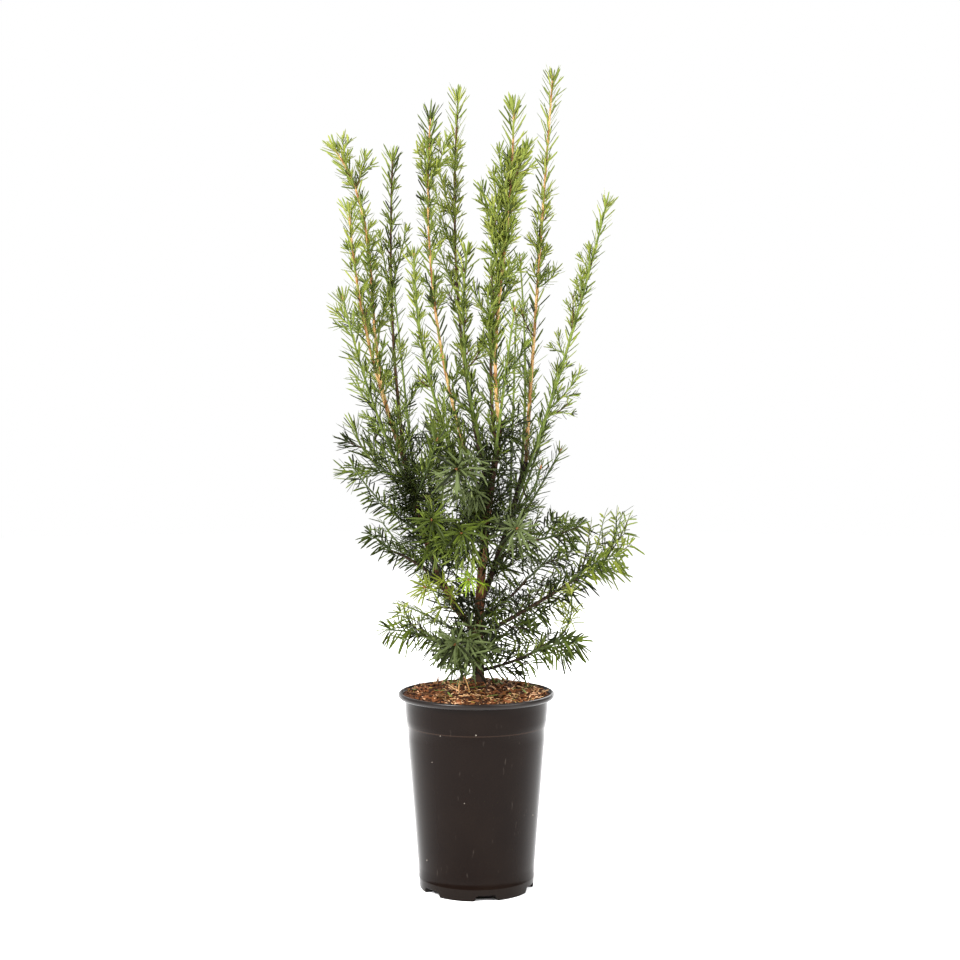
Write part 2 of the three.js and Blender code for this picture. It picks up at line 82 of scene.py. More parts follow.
def new_finish(name, **values):
    """A material with one Principled shader, whose sockets are set from values."""
    material = bpy.data.materials.new(name)
    material.use_nodes = True
    tree = material.node_tree
    tree.nodes.clear()
    inputs = {key.replace("_", " "): value for key, value in values.items()}
    shader = add_node(tree, "ShaderNodeBsdfPrincipled", inputs)
    add_node(tree, "ShaderNodeOutputMaterial", {"Surface": shader.outputs["BSDF"]})
    return material, tree, shader


def graded(tree, place, size, stretch, detail, tones):
    """Noise with cells of that size in mm, which a stretch under 1 makes longer along +Z, and the
    colour that it picks from tones, each a level of the noise with a hex value."""
    scaled = add_node(tree, "ShaderNodeMapping", {"Vector": place, "Scale": (1.0, 1.0, stretch)})
    cells = {"Vector": scaled.outputs["Vector"], "Scale": 1 / (size * MM), "Detail": detail}
    pattern = add_node(tree, "ShaderNodeTexNoise", cells).outputs["Fac"]
    ramp = add_node(tree, "ShaderNodeValToRGB", {"Fac": pattern})
    stops = ramp.color_ramp.elements
    for number, (level, tone) in enumerate(tones):
        stop = stops[number] if number < 2 else stops.new(level)
        stop.position, stop.color = level, linear(tone)
    return pattern, ramp.outputs["Color"]


def lay_over(tree, colour, layers):
    """A colour with others laid over it. The share of each goes from 0, where its pattern has the
    value start, to its full share at the value end."""
    for pattern, start, end, share, over in layers:
        mask = add_node(
            tree, "ShaderNodeMapRange",
            {"Value": pattern, "From Min": start, "From Max": end, "To Max": share},
        )
        mixed = add_node(
            tree, "ShaderNodeMix",
            {0: mask.outputs["Result"], 6: colour, 7: linear(over)}, data_type="RGBA",
        )
        colour = mixed.outputs[2]
    return colour


# %% [markdown]
# Every shape here is an array of points and arrays of corner numbers. A grid of points gives a
# tube of quads, as its last column joins its first, and a fan to a point closes each end. What is
# there many times has the faces of one copy repeated. Chance is a formula of a seed, so the plant
# grows the same way each time. The steps and factors that go with a seed further down only keep one
# draw apart from the next.

# %% Mesh and chance helpers
def chance(seed):
    """A number from 0 to 1: the fraction of 43758.5453 times the sine of 12.9898 times the seed."""
    value = np.sin(np.asarray(seed, float) * 12.9898) * 43758.5453
    return value - np.floor(value)


def noise(points, size, seed):
    """Smooth noise from -1 to 1. Each corner of a lattice of that size has a hashed value, and the
    values are blended with 3 t^2 - 2 t^3 along each axis."""
    scaled = np.asarray(points, float) / size
    cell = np.floor(scaled)
    t = scaled - cell
    t = t * t * (3 - 2 * t)
    total = np.zeros(scaled.shape[:-1])
    for corner in np.ndindex(2, 2, 2):
        weight = np.prod(np.where(corner, t, 1 - t), axis=-1)
        total += weight * chance((cell + corner) @ np.array([1.27, 3.11, 7.47]) + seed)
    return 2 * total - 1


def grid_quads(rows, columns):
    """Corner numbers of the quads of a tube of rings: rows rings of columns points each."""
    row, column = np.mgrid[0 : rows - 1, 0:columns]
    after = (column + 1) % columns
    corners = [row * columns + column, row * columns + after]
    corners += [(row + 1) * columns + after, (row + 1) * columns + column]
    return np.stack(corners, -1).reshape(-1, 4)


def tube_faces(rows, columns):
    """Quads of a tube of rings, and a fan at each end. The fans meet in the two points that follow
    those of the rings."""
    around = np.arange(columns)
    after, base, tip = (around + 1) % columns, (rows - 1) * columns, rows * columns
    low = np.stack([after, around, np.full(columns, tip)], -1)
    high = np.stack([base + around, base + after, np.full(columns, tip + 1)], -1)
    return [grid_quads(rows, columns), low, high]


def copies(points, groups):
    """All points in one list, and the faces of one copy repeated for each, from points that have one
    row for each copy."""
    first = (np.arange(len(points)) * points.shape[1])[:, None, None]
    return points.reshape(-1, 3), [(group + first).reshape(-1, group.shape[1]) for group in groups]


def new_piece(name, points, groups, finishes, nodes=(), kinds=None, smooth=True):
    """A mesh object from points in millimetres and groups of faces, each group an array with one
    row of corners for each face. kinds gives each face the number of its finish."""
    mesh = bpy.data.meshes.new(name)
    points = np.asarray(points, float).reshape(-1, 3) * MM
    sizes = np.concatenate([np.full(len(group), group.shape[1]) for group in groups])
    corners = np.concatenate([group.ravel() for group in groups])
    mesh.vertices.add(len(points))
    mesh.vertices.foreach_set("co", points.astype(np.float32).ravel())
    mesh.loops.add(len(corners))
    mesh.loops.foreach_set("vertex_index", corners.astype(np.int32))
    mesh.polygons.add(len(sizes))
    mesh.polygons.foreach_set("loop_start", (np.cumsum(sizes) - sizes).astype(np.int32))
    mesh.polygons.foreach_set("use_smooth", np.full(len(sizes), smooth))
    for finish in finishes:
        mesh.materials.append(finish)
    if kinds is not None:
        mesh.polygons.foreach_set("material_index", np.asarray(kinds, np.int32))
    mesh.update(calc_edges=True)
    piece = bpy.data.objects.new(name, mesh)
    bpy.context.scene.collection.objects.link(piece)
    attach(piece, "root")
    if len(nodes):
        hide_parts(*nodes)
    print(f"{name}: {(sizes - 2).sum()} triangles")


# %% [markdown]
# ## Camera and studio
# The photograph is a product shot: a long lens at plant height, tipped down by less than two
# degrees, with a white surround and big soft lights. The camera is placed from the pot's rim and
# foot, whose known sizes fix both its distance and its height. The floor is a wide pale disc, so
# that nothing stands behind the plant when it is seen from the back.

# %% Camera
CAMERA = {"place": (3.9, -1657.2, 493.4), "pitch": 1.72, "lens": 57.2}
camera = bpy.data.objects.new("camera", bpy.data.cameras.new("camera"))
camera.data.lens = CAMERA["lens"]
camera.location = np.array(CAMERA["place"]) * MM
camera.rotation_euler = (np.radians(90 - CAMERA["pitch"]), 0, 0)
bpy.context.scene.collection.objects.link(camera)
bpy.context.scene.camera = camera
bpy.context.scene.view_settings.view_transform = "Standard"
print("camera:", CAMERA)

# %% [markdown]
# A white surround is a world of one plain colour. The floor could be a square, but a disc has no
# corners to come into view. The light is that of a product studio: a large softbox high on the left
# makes the tips glow, a weaker one on the right opens the shadows, one over the plant and one behind
# it keep the back from going dark, and two low rim lights brighten the sides of the pot.

# %% Floor and lights
world = bpy.data.worlds.new("white surround")
world.use_nodes = True
world.node_tree.nodes["Background"].inputs["Color"].default_value = (1, 1, 1, 1)
world.node_tree.nodes["Background"].inputs["Strength"].default_value = 1.0
bpy.context.scene.world = world

FLOOR_RADIUS = 6000
turns = np.linspace(0, 2 * np.pi, 96, endpoint=False)
circle = np.stack([np.cos(turns), np.sin(turns), 0 * turns], -1)
floor_mesh = bpy.data.meshes.new("floor")
floor_mesh.from_pydata((circle * FLOOR_RADIUS * MM).tolist(), [], [list(range(len(turns)))])
floor = bpy.data.objects.new("floor", floor_mesh)
floor_paper, _, _ = new_finish("white background paper", Base_Color=linear(0xFFFFFF), Roughness=0.9)
floor_mesh.materials.append(floor_paper)
bpy.context.scene.collection.objects.link(floor)

Softbox = namedtuple("Softbox", "place aim_height side watts")
SOFTBOXES = {
    "left softbox": Softbox((-1300, -1300, 1600), 450, 900, 150),
    "right softbox": Softbox((1500, -1000, 1300), 450, 1100, 65),
    "top softbox": Softbox((0, 300, 2100), 500, 1000, 60),
    "back softbox": Softbox((500, 2000, 1500), 450, 1200, 30),
    "left rim light": Softbox((-1000, 2200, 200), 150, 600, 6),
    "right rim light": Softbox((1000, 2200, 200), 150, 600, 6),
}
for name, softbox in SOFTBOXES.items():
    light = bpy.data.lights.new(name, "AREA")
    light.size = softbox.side * MM
    light.energy = softbox.watts
    lamp = bpy.data.objects.new(name, light)
    lamp.location = np.array(softbox.place) * MM
    aim = Vector((0, 0, softbox.aim_height)) - Vector(softbox.place)
    lamp.rotation_euler = aim.to_track_quat("-Z", "Y").to_euler()
    bpy.context.scene.collection.objects.link(lamp)
print("lights:", len(SOFTBOXES))

# %% [markdown]
# ## The pot
# The pot is blow-moulded black plastic: a tapering wall, a broad rolled lip, a faint moulding ring
# under it, a slightly lighter band at the foot, and six drain notches round the edge. It is one
# closed surface of revolution: a profile is carried round the axis, and near the foot the profile
# rises by a function of the angle, which opens the notches without any cutting.

# %% Pot sizes
POT = {
    "height": 213,
    "foot_radius": 62.3,
    "shoulder_radius": 79,
    "rim_radius": 85,
    "mouth_radius": 82.5,
    "lip_height": 6.5,
    "wall": 1.1,
    "floor": 2.6,
    "foot_round": 1.6,
    "band_top": 13,
    "band_step": 0.45,
    "ring_height": 178,
    "segments": 360,
}
LIP_ROUNDS = {"under": 1.2, "belly": 2.6, "crown": 2.2, "mouth": 0.6, "shelf": 0.8}
NOTCH = {"count": 6, "first": -80.4, "foot_width": 27, "top_width": 19, "height": 6.5}
NOTCH_INNER, NOTCH_FADE, NOTCH_INSIDE = 53, 1.5, 1.5
LIP_FOOT = POT["height"] - POT["lip_height"]
print("pot:", 2 * POT["rim_radius"], "mm across,", POT["height"], "mm tall")

# %% [markdown]
# The profile has only the points that its shape needs: straight runs of the wall, and an arc for each
# of the lip's rounds.

# %% Pot profile
def wall_radius(height):
    """Outer radius of the wall: straight from the foot radius to the shoulder radius."""
    return POT["foot_radius"] + (POT["shoulder_radius"] - POT["foot_radius"]) * (height / LIP_FOOT)


def wall_line(start, end, count, inset=0.0):
    """Points (wall radius - inset, height) at heights from start to end."""
    heights = np.linspace(start, end, count)
    return np.stack([wall_radius(heights) - inset, heights], -1)


def arc(centre, radius, start, end, count):
    """Points of an arc: centre plus radius times (cosine, sine) of angles from start to end."""
    angles = np.radians(np.linspace(start, end, count))
    return np.stack([centre[0] + radius * np.cos(angles), centre[1] + radius * np.sin(angles)], -1)


def pot_profile():
    """Half of the pot's section, from the middle of the underside, up the outside, down the inside."""
    top, rim, mouth, wall = (POT[key] for key in ("height", "rim_radius", "mouth_radius", "wall"))
    foot, band, ring = (POT[key] for key in ("foot_round", "band_top", "ring_height"))
    under, belly, crown, edge, shelf = LIP_ROUNDS.values()
    at_lip = wall_radius(LIP_FOOT)
    across_foot = np.linspace(0, POT["foot_radius"] - foot, 12)
    across_floor = np.linspace(wall_radius(POT["floor"]) - wall - 2, 0, 10)
    return np.concatenate([
        np.stack([across_foot, 0 * across_foot], -1),
        arc((POT["foot_radius"] - foot, foot), foot, -70, 0, 5),
        wall_line(foot + 0.5, band, 10),
        wall_line(band + 0.6, ring - 0.5, 14, POT["band_step"]),
        wall_line(ring + 0.3, LIP_FOOT - 1.2, 5),
        arc((at_lip + under, LIP_FOOT - 0.9), under, 180, 90, 4),
        arc((rim - belly, LIP_FOOT + 3), belly, -85, 0, 9),
        arc((rim - crown, top - crown), crown, 15, 90, 8),
        arc((mouth, top - edge), edge, 90, 180, 4),
        [(mouth - 0.8, LIP_FOOT + 1.8)],
        arc((at_lip - wall + shelf, LIP_FOOT - 0.2), shelf, 90, 180, 3),
        wall_line(LIP_FOOT - 1, POT["floor"], 12, wall),
        np.stack([across_floor, np.full_like(across_floor, POT["floor"])], -1),
    ])


print("points of the profile:", len(pot_profile()))

# %% [markdown]
# The profile is turned about the axis in 360 steps, and a smooth function of the angle lifts it near
# the foot, which opens the notches. A fan of triangles closes the underside and another one the
# floor inside.

# %% Pot surface
def notch_share(angle, radius):
    """How far a notch is open at an angle: 1 over its top width, falling to 0 at its foot width."""
    step = 2 * np.pi / NOTCH["count"]
    off = (angle - np.radians(NOTCH["first"]) + step / 2) % step - step / 2
    reach = np.abs(off) * POT["foot_radius"]
    slope = (NOTCH["foot_width"] / 2 - reach) / (NOTCH["foot_width"] - NOTCH["top_width"]) * 2
    opening = np.clip(slope, 0, 1)
    inward = np.clip((radius - NOTCH_INNER) / NOTCH_FADE, 0, 1)
    return opening * opening * (3 - 2 * opening) * inward


def pot_surface():
    """Points (u, v): the profile at u turned by the angle v, and raised to the notch's height where
    the notch is open. The inside is raised by 1.5 mm more, so that the wall keeps its thickness."""
    profile = pot_profile()
    angle = np.linspace(0, 2 * np.pi, POT["segments"], endpoint=False)
    radius = profile[1:-1, 0][:, None]
    height = profile[1:-1, 1][:, None] + 0 * angle
    open_share = notch_share(angle[None, :], radius + 0 * angle)
    outside = np.arange(1, len(profile) - 1)[:, None] < np.argmax(profile[:, 1])
    lift = open_share * (NOTCH["height"] + np.where(outside, 0, NOTCH_INSIDE))
    height = np.maximum(height, lift)
    ring = np.stack([radius * np.cos(angle), radius * np.sin(angle), height], -1)
    return ring, profile[0, 1], profile[-1, 1]


def closed_tube(rings, first, last):
    """Points and faces of a tube of rings about the axis, closed by a fan at each end, whose points
    are on the axis at the heights first and last."""
    points = np.concatenate([rings.reshape(-1, 3), [[0, 0, first], [0, 0, last]]])
    return points, tube_faces(*rings.shape[:2])


# %% [markdown]
# ### Black polypropylene
# Recycled black polypropylene is a warm charcoal, with an IOR of 1.49. The wall came smooth from the
# mould but for a fine pebbling, so its weak gloss is sharp, and the lip is worn and somewhat rougher.
# The dust of the potting bench lies in soft clouds of a few centimetres, and the scuffs are short
# upright strokes among a few pale specks.

# %% Pot material
def pot_plastic(name, gloss, roughness):
    """Near-black with dust in clouds of 45 mm, scuffs 5 mm wide, specks on a lattice of 21 mm, a
    lighter band at the foot and a faint line on the moulding ring."""
    material, tree, shader = new_finish(name, IOR=1.49, Specular_IOR_Level=gloss, Metallic=0.0)
    place = add_node(tree, "ShaderNodeTexCoord").outputs["Object"]
    clouds = {"Vector": place, "Scale": 1 / (45 * MM), "Detail": 4.0}
    cloud = add_node(tree, "ShaderNodeTexNoise", clouds).outputs["Fac"]
    upright = add_node(tree, "ShaderNodeMapping", {"Vector": place, "Scale": (1.0, 1.0, 0.25)})
    strokes = {"Vector": upright.outputs["Vector"], "Scale": 1 / (5 * MM), "Detail": 2.0}
    scuff = add_node(tree, "ShaderNodeTexNoise", strokes).outputs["Fac"]
    lattice = {"Vector": place, "Scale": 1 / (21 * MM)}
    speck = add_node(tree, "ShaderNodeTexVoronoi", lattice).outputs["Distance"]
    height = add_node(tree, "ShaderNodeSeparateXYZ", {"Vector": place}).outputs["Z"]
    near_ring = {0: height, 1: POT["ring_height"] * MM, 2: 0.6 * MM}
    on_ring = add_node(tree, "ShaderNodeMath", near_ring, operation="COMPARE").outputs[0]
    colour = lay_over(tree, linear(0x0B0503), [
        (cloud, 0.42, 0.72, 0.5, 0x110A06),
        (scuff, 0.70, 0.78, 0.35, 0x3A342F),
        (speck, 0.045, 0.025, 0.7, 0x7C756B),
        (height, (POT["band_top"] + 0.4) * MM, (POT["band_top"] - 0.6) * MM, 0.3, 0x1C1815),
        (on_ring, 0, 1, 0.25, 0x3A2B22),
    ])
    tree.links.new(colour, shader.inputs["Base Color"])
    rough = add_node(
        tree, "ShaderNodeMapRange",
        {"Value": cloud, "From Min": 0.3, "From Max": 0.7, "To Min": roughness, "To Max": roughness + 0.1},
    )
    tree.links.new(rough.outputs["Result"], shader.inputs["Roughness"])
    pebbles = {"Vector": place, "Scale": 1 / (1.2 * MM), "Detail": 2.0}
    grain = add_node(tree, "ShaderNodeTexNoise", pebbles).outputs["Fac"]
    skin = {"Height": grain, "Strength": 0.14, "Distance": 0.15 * MM}
    bump = add_node(tree, "ShaderNodeBump", skin)
    tree.links.new(bump.outputs["Normal"], shader.inputs["Normal"])
    return material


# %% [markdown]
# Wall and lip are one mesh, so that there is no seam between them. The faces from just over the foot
# of the lip take the lip's finish.

# %% Make the pot
points, faces = closed_tube(*pot_surface())
plastic = [
    pot_plastic("blow-moulded black polypropylene", 0.05, 0.12),
    pot_plastic("burnished black polypropylene lip", 0.2, 0.3),
]
kinds = np.concatenate([points[group, 2].min(1) > LIP_FOOT + 0.2 for group in faces])
new_piece("nursery_pot", points, faces, plastic, ["pot"], kinds)

# %% [markdown]
# ## How a stem grows
# A stem is a cubic curve from its base to its tip. Its middle stands off the straight line by a bow,
# and its upper bend may be moved by a nod. Round each point of it two directions lie across the
# stem, side and over, and all that grows from it leaves between those two.

# %% Curves
UPRIGHT_LEAN = 0.7
GOLDEN_ANGLE = np.pi * (3 - np.sqrt(5))


def curve_of(base, tip, bow, nod=(0, 0, 0)):
    """Four control points: base, 2/3 of the way to the middle from each end, and tip, where the
    middle is halfway between base and tip, moved by twice the bow."""
    base, tip = np.asarray(base, float), np.asarray(tip, float)
    middle = (base + tip) / 2 + 2 * np.asarray(bow, float)
    first = base + (middle - base) * 2 / 3
    second = tip + (middle - tip) * 2 / 3 + np.asarray(nod, float)
    return np.stack([base, first, second, tip], -2)


def point_at(curves, share):
    """(1-s)^3 P0 + 3 (1-s)^2 s P1 + 3 (1-s) s^2 P2 + s^3 P3 for each curve and its share s."""
    s = np.asarray(share, float)[..., None]
    p0, p1, p2, p3 = np.moveaxis(curves, -2, 0)
    return (1 - s) ** 3 * p0 + 3 * (1 - s) ** 2 * s * p1 + 3 * (1 - s) * s**2 * p2 + s**3 * p3


def unit(vectors):
    """The same directions with length 1."""
    return vectors / np.maximum(np.linalg.norm(vectors, axis=-1, keepdims=True), 1e-9)


def frame_at(curves, share):
    """Point, direction along, and the two directions across: side = reference x along, made unit,
    and over = along x side. The reference is +Y for an upright stem and +Z for any other."""
    s = np.asarray(share, float)[..., None]
    p0, p1, p2, p3 = np.moveaxis(curves, -2, 0)
    slope = (1 - s) ** 2 * (p1 - p0) + 2 * (1 - s) * s * (p2 - p1) + s**2 * (p3 - p2)
    along = unit(slope)
    upright = np.abs(unit(p3 - p0)[..., 2:]) > UPRIGHT_LEAN
    reference = np.where(upright, [0.0, 1.0, 0.0], [0.0, 0.0, 1.0])
    side = unit(np.cross(reference, along))
    return point_at(curves, share), along, side, np.cross(along, side)


def along_curves(curves, shares):
    """Points of every curve at the same shares, one row for each curve."""
    return point_at(curves[:, None], np.broadcast_to(shares, (len(curves), len(shares))))


def curve_lengths(curves):
    """Length of each curve: the sum of 24 straight steps."""
    points = along_curves(curves, np.linspace(0, 1, 25))
    return np.linalg.norm(np.diff(points, axis=1), axis=-1).sum(1)


# %% [markdown]
# Many twigs are made at once: every ring of every twig is one array. The base ring lies inside the
# stem that carries the twig, and both ends are closed.

# %% Tubes along curves
END_HEIGHT = 0.8


def tubes(curves, radii, steps, sides, relief=None):
    """Points c(s) + r(s, a) (side cos a + over sin a) for each curve, with r from the first radius to
    the second along it, times 1 + relief(c, s, a). Ends are fans to a point, and that of the far end
    stands out by END_HEIGHT of the radius."""
    curves = np.asarray(curves, float)
    count = len(curves)
    share = np.broadcast_to(np.linspace(0, 1, steps + 1), (count, steps + 1))
    centre, along, side, over = frame_at(curves[:, None], share)
    angle = np.linspace(0, 2 * np.pi, sides, endpoint=False)
    radius = radii[:, :1] + (radii[:, 1:] - radii[:, :1]) * share
    radius = np.repeat(radius[..., None], sides, -1)
    if relief is not None:
        radius = radius * (1 + relief(centre, share, angle))
    spoke = side[:, :, None] * np.cos(angle)[:, None] + over[:, :, None] * np.sin(angle)[:, None]
    rings = centre[:, :, None] + spoke * radius[..., None]
    ends = np.stack([centre[:, 0], centre[:, -1] + along[:, -1] * radii[:, 1:] * END_HEIGHT], 1)
    points = np.concatenate([rings.reshape(count, -1, 3), ends], 1)
    return copies(points, tube_faces(steps + 1, sides))


def join(parts):
    """One set of points and groups of faces from several, with the corner numbers moved on."""
    points, groups, first = [], [], 0
    for some, faces in parts:
        points.append(some)
        groups += [face + first for face in faces]
        first += len(some)
    return np.concatenate(points), groups


# %% [markdown]
# ## Trunk, stems and boughs
# The wood is the same as in the solids: each limb starts at a share of its carrier's length and
# ends at its tip. The bark of a young yew is thin and red-brown and peels in long flakes, so the
# tubes get a relief of grooves that run along the limb, and a swollen collar where they start.

# %% Limbs
Limb = namedtuple("Limb", "on at tip bow radii")
TRUNK_FOOT = (2, 6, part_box("trunk")[0].z / MM)
LIMBS = {
    "trunk": Limb(None, 0, (26, 0, 500), (-7, 0, -3), (6.2, 3.2)),
    "stem_left": Limb("trunk", 0.2, (-82, 8, 481), (-4, -8, -29), (4.2, 2.8)),
    "stem_right": Limb("trunk", 0.34, (54, 8, 463), (-3, 6, -23), (4, 2.8)),
    "bough_left": Limb("stem_left", 0.4, (-92, -20, 368), (-3, 0, 6), (2.2, 1.9)),
    "bough_left_foot": Limb("trunk", 0.1, (-48, -20, 272), (0, 0, -2), (2.4, 2)),
    "bough_right": Limb("trunk", 0.19, (110, 8, 336), (6, 0, 2), (3, 2.3)),
    "bough_right_foot": Limb("trunk", 0.05, (75, -22, 267), (3, 0, -3), (2.4, 2)),
    "bough_right_high": Limb("stem_right", 0.42, (69, 2, 379), (-3, 0, 3), (2.4, 2)),
    "bough_back_left": Limb("stem_left", 0.35, (-66, 52, 352), (0, 4, -3), (2.4, 2)),
    "bough_back": Limb("trunk", 0.15, (-8, 66, 288), (0, 4, -4), (2.4, 2)),
    "bough_back_right": Limb("trunk", 0.27, (56, 58, 330), (4, 4, -3), (2.4, 2)),
}
BOUGH_SLIM = 0.75
FLARE = {"radius": 3.4, "height": 16}
COLLAR = {"swell": 0.45, "length": 7}
BARK = {"step": 1.6, "sides": 30, "groove": 0.11, "ripple": 0.06}
GIRTH = 5
GROOVE_CELL, RIPPLE_CELL = (2.4, 2.4, 17), (2.4, 2.4, 5)

limb_curves = {}
for name, limb in LIMBS.items():
    base = TRUNK_FOOT if limb.on is None else point_at(limb_curves[limb.on], limb.at)
    limb_curves[name] = curve_of(base, limb.tip, limb.bow)


def bark_relief(centre, angle):
    """Noise on a circle of that girth, whose cells are narrow round the limb and long along it: deep
    for the grooves, finer and shorter for the ripples, in shares of the radius."""
    height, turn = np.broadcast_arrays(centre[:, :, None, 2], angle)
    place = np.stack([GIRTH * np.cos(turn), GIRTH * np.sin(turn), height], -1)
    grooves = noise(place / GROOVE_CELL, 1.0, 5.0)
    ripples = noise(place / RIPPLE_CELL, 0.6, 9.0)
    return BARK["groove"] * grooves + BARK["ripple"] * ripples


def limb_tube(name):
    """A limb's tube with bark relief: the trunk gains a root flare, FLARE.radius (1 - s L / height)^2,
    and every other limb a collar that fades along its first millimetres."""
    limb, curve = LIMBS[name], limb_curves[name][None]
    length = curve_lengths(curve)[0]

    def relief(centre, share, angle):
        """Bark with the flare or the collar added to it, in shares of the radius."""
        distance = (share * length)[..., None]
        bark = bark_relief(centre, angle)
        if limb.on is None:
            spread = FLARE["radius"] * np.clip(1 - distance / FLARE["height"], 0, 1) ** 2
            return bark + spread / limb.radii[0]
        return bark + COLLAR["swell"] * np.exp(-distance / COLLAR["length"])

    steps = max(6, int(length / BARK["step"]))
    slimmer = BOUGH_SLIM if name.startswith("bough") else 1
    return tubes(curve, np.array([limb.radii]) * slimmer, steps, BARK["sides"], relief)


print("limbs:", len(limb_curves))


# %% [markdown]
# ### Yew bark
# Bark is matt, with red-brown strips between darker grooves and grey-brown scales where it is about
# to peel. The strips are noise that is squeezed round the limb and drawn out along it. Only the
# bare stretch of the trunk keeps its full colour; above and below it the wood is darkened as painted
# shade, for the shade that the crown and the foliage round the foot cast on it.

# %% Bark material
# Painted shade on the bark: full colour near this height, fully darkened from the second distance away.
BARE_TRUNK = {"height": 342, "lit_within": 40, "shaded_beyond": 85}


def yew_bark(name, red, dark, pale):
    """Strips 2.2 mm wide in three tones, darkened by scales of 14 mm, and darkened more and more away
    from the height of the bare stretch as painted shade."""
    material, tree, shader = new_finish(name, Roughness=0.82, IOR=1.45, Specular_IOR_Level=0.2)
    place = add_node(tree, "ShaderNodeTexCoord").outputs["Object"]
    tones = [(0.34, dark), (0.56, red), (0.74, pale)]
    strips, colour = graded(tree, place, 2.2, 0.16, 5.0, tones)
    wide = {"Vector": place, "Scale": 1 / (14 * MM), "Detail": 3.0}
    patches = add_node(tree, "ShaderNodeTexNoise", wide).outputs["Fac"]
    height = add_node(tree, "ShaderNodeSeparateXYZ", {"Vector": place}).outputs["Z"]
    over_bare = {0: height, 1: BARE_TRUNK["height"] * MM}
    above = add_node(tree, "ShaderNodeMath", over_bare, operation="SUBTRACT").outputs[0]
    away = add_node(tree, "ShaderNodeMath", {0: above}, operation="ABSOLUTE").outputs[0]
    # The second layer is painted shade: the wood darkens away from the bare stretch, where the foliage
    # shades it.
    colour = lay_over(tree, colour, [
        (patches, 0.5, 0.7, 0.6, dark),
        (away, BARE_TRUNK["lit_within"] * MM, BARE_TRUNK["shaded_beyond"] * MM, 0.85, dark),
    ])
    tree.links.new(colour, shader.inputs["Base Color"])
    flakes = {"Height": strips, "Strength": 0.6, "Distance": 0.5 * MM}
    bump = add_node(tree, "ShaderNodeBump", flakes)
    tree.links.new(bump.outputs["Normal"], shader.inputs["Normal"])
    return material


# %% [markdown]
# Each limb is a piece of its own. The trunk and the left stem stand in the light at the front of the
# plant, and the other limbs lie in its shade: their bark is a darker copy, partly older wood and
# partly painted shade.

# %% Make the limbs
trunk_bark = yew_bark("peeling yew bark", 0x5A3721, 0x23150E, 0x836143)
# A darker copy of the bark for the limbs in the shade of the crown: partly older wood, partly painted shade.
bough_bark = yew_bark("shaded yew bark", 0x302115, 0x140D08, 0x4D3B2B)
for name in LIMBS:
    points, faces = limb_tube(name)
    finish = trunk_bark if name in ("trunk", "stem_left") else bough_bark
    new_piece("bark_" + name, points, faces, [finish], [name])

# %% [markdown]
# ## Foliage, by the same rule as the solids
# Each mass of foliage is one shoot with its own space: a sleeve round its stem. Side twigs leave
# the shoot by a seeded rule, turned by the golden angle on an upright shoot and left and right on a
# flat one. The rule first places the few main twigs of the solids, and is then carried on to finer
# twigs between them, and to twiglets on the longer twigs. Pitch is the distance in mm between the
# finer twigs, finer is their length a third of the way up, bunch is how many of them share a knot,
# and blade, width, lean and twist are those of a needle.

# %% Habits and shoots
Habit = namedtuple("Habit", "reach twigs length start end flat pitch finer bunch blade width lean twist")
TALL = Habit(54, 3, 46, 0.12, 0.62, False, 11.5, 12, 3, 17.5, 1.8, 40, 2.2)
SHORT = Habit(50, 2, 42, 0.15, 0.6, False, 15, 18, 2, 22, 1.85, 46, 1.6)
FEATHER = Habit(50, 2, 40, 0.2, 0.6, True, 24, 26, 1, 20, 2.2, 58, 0.7)
TUFT = Habit(42, 1, 30, 0.5, 0.7, False, 13, 20, 1, 27, 2.1, 62, 1.0)
HABITS = [TALL, SHORT, FEATHER, TUFT]

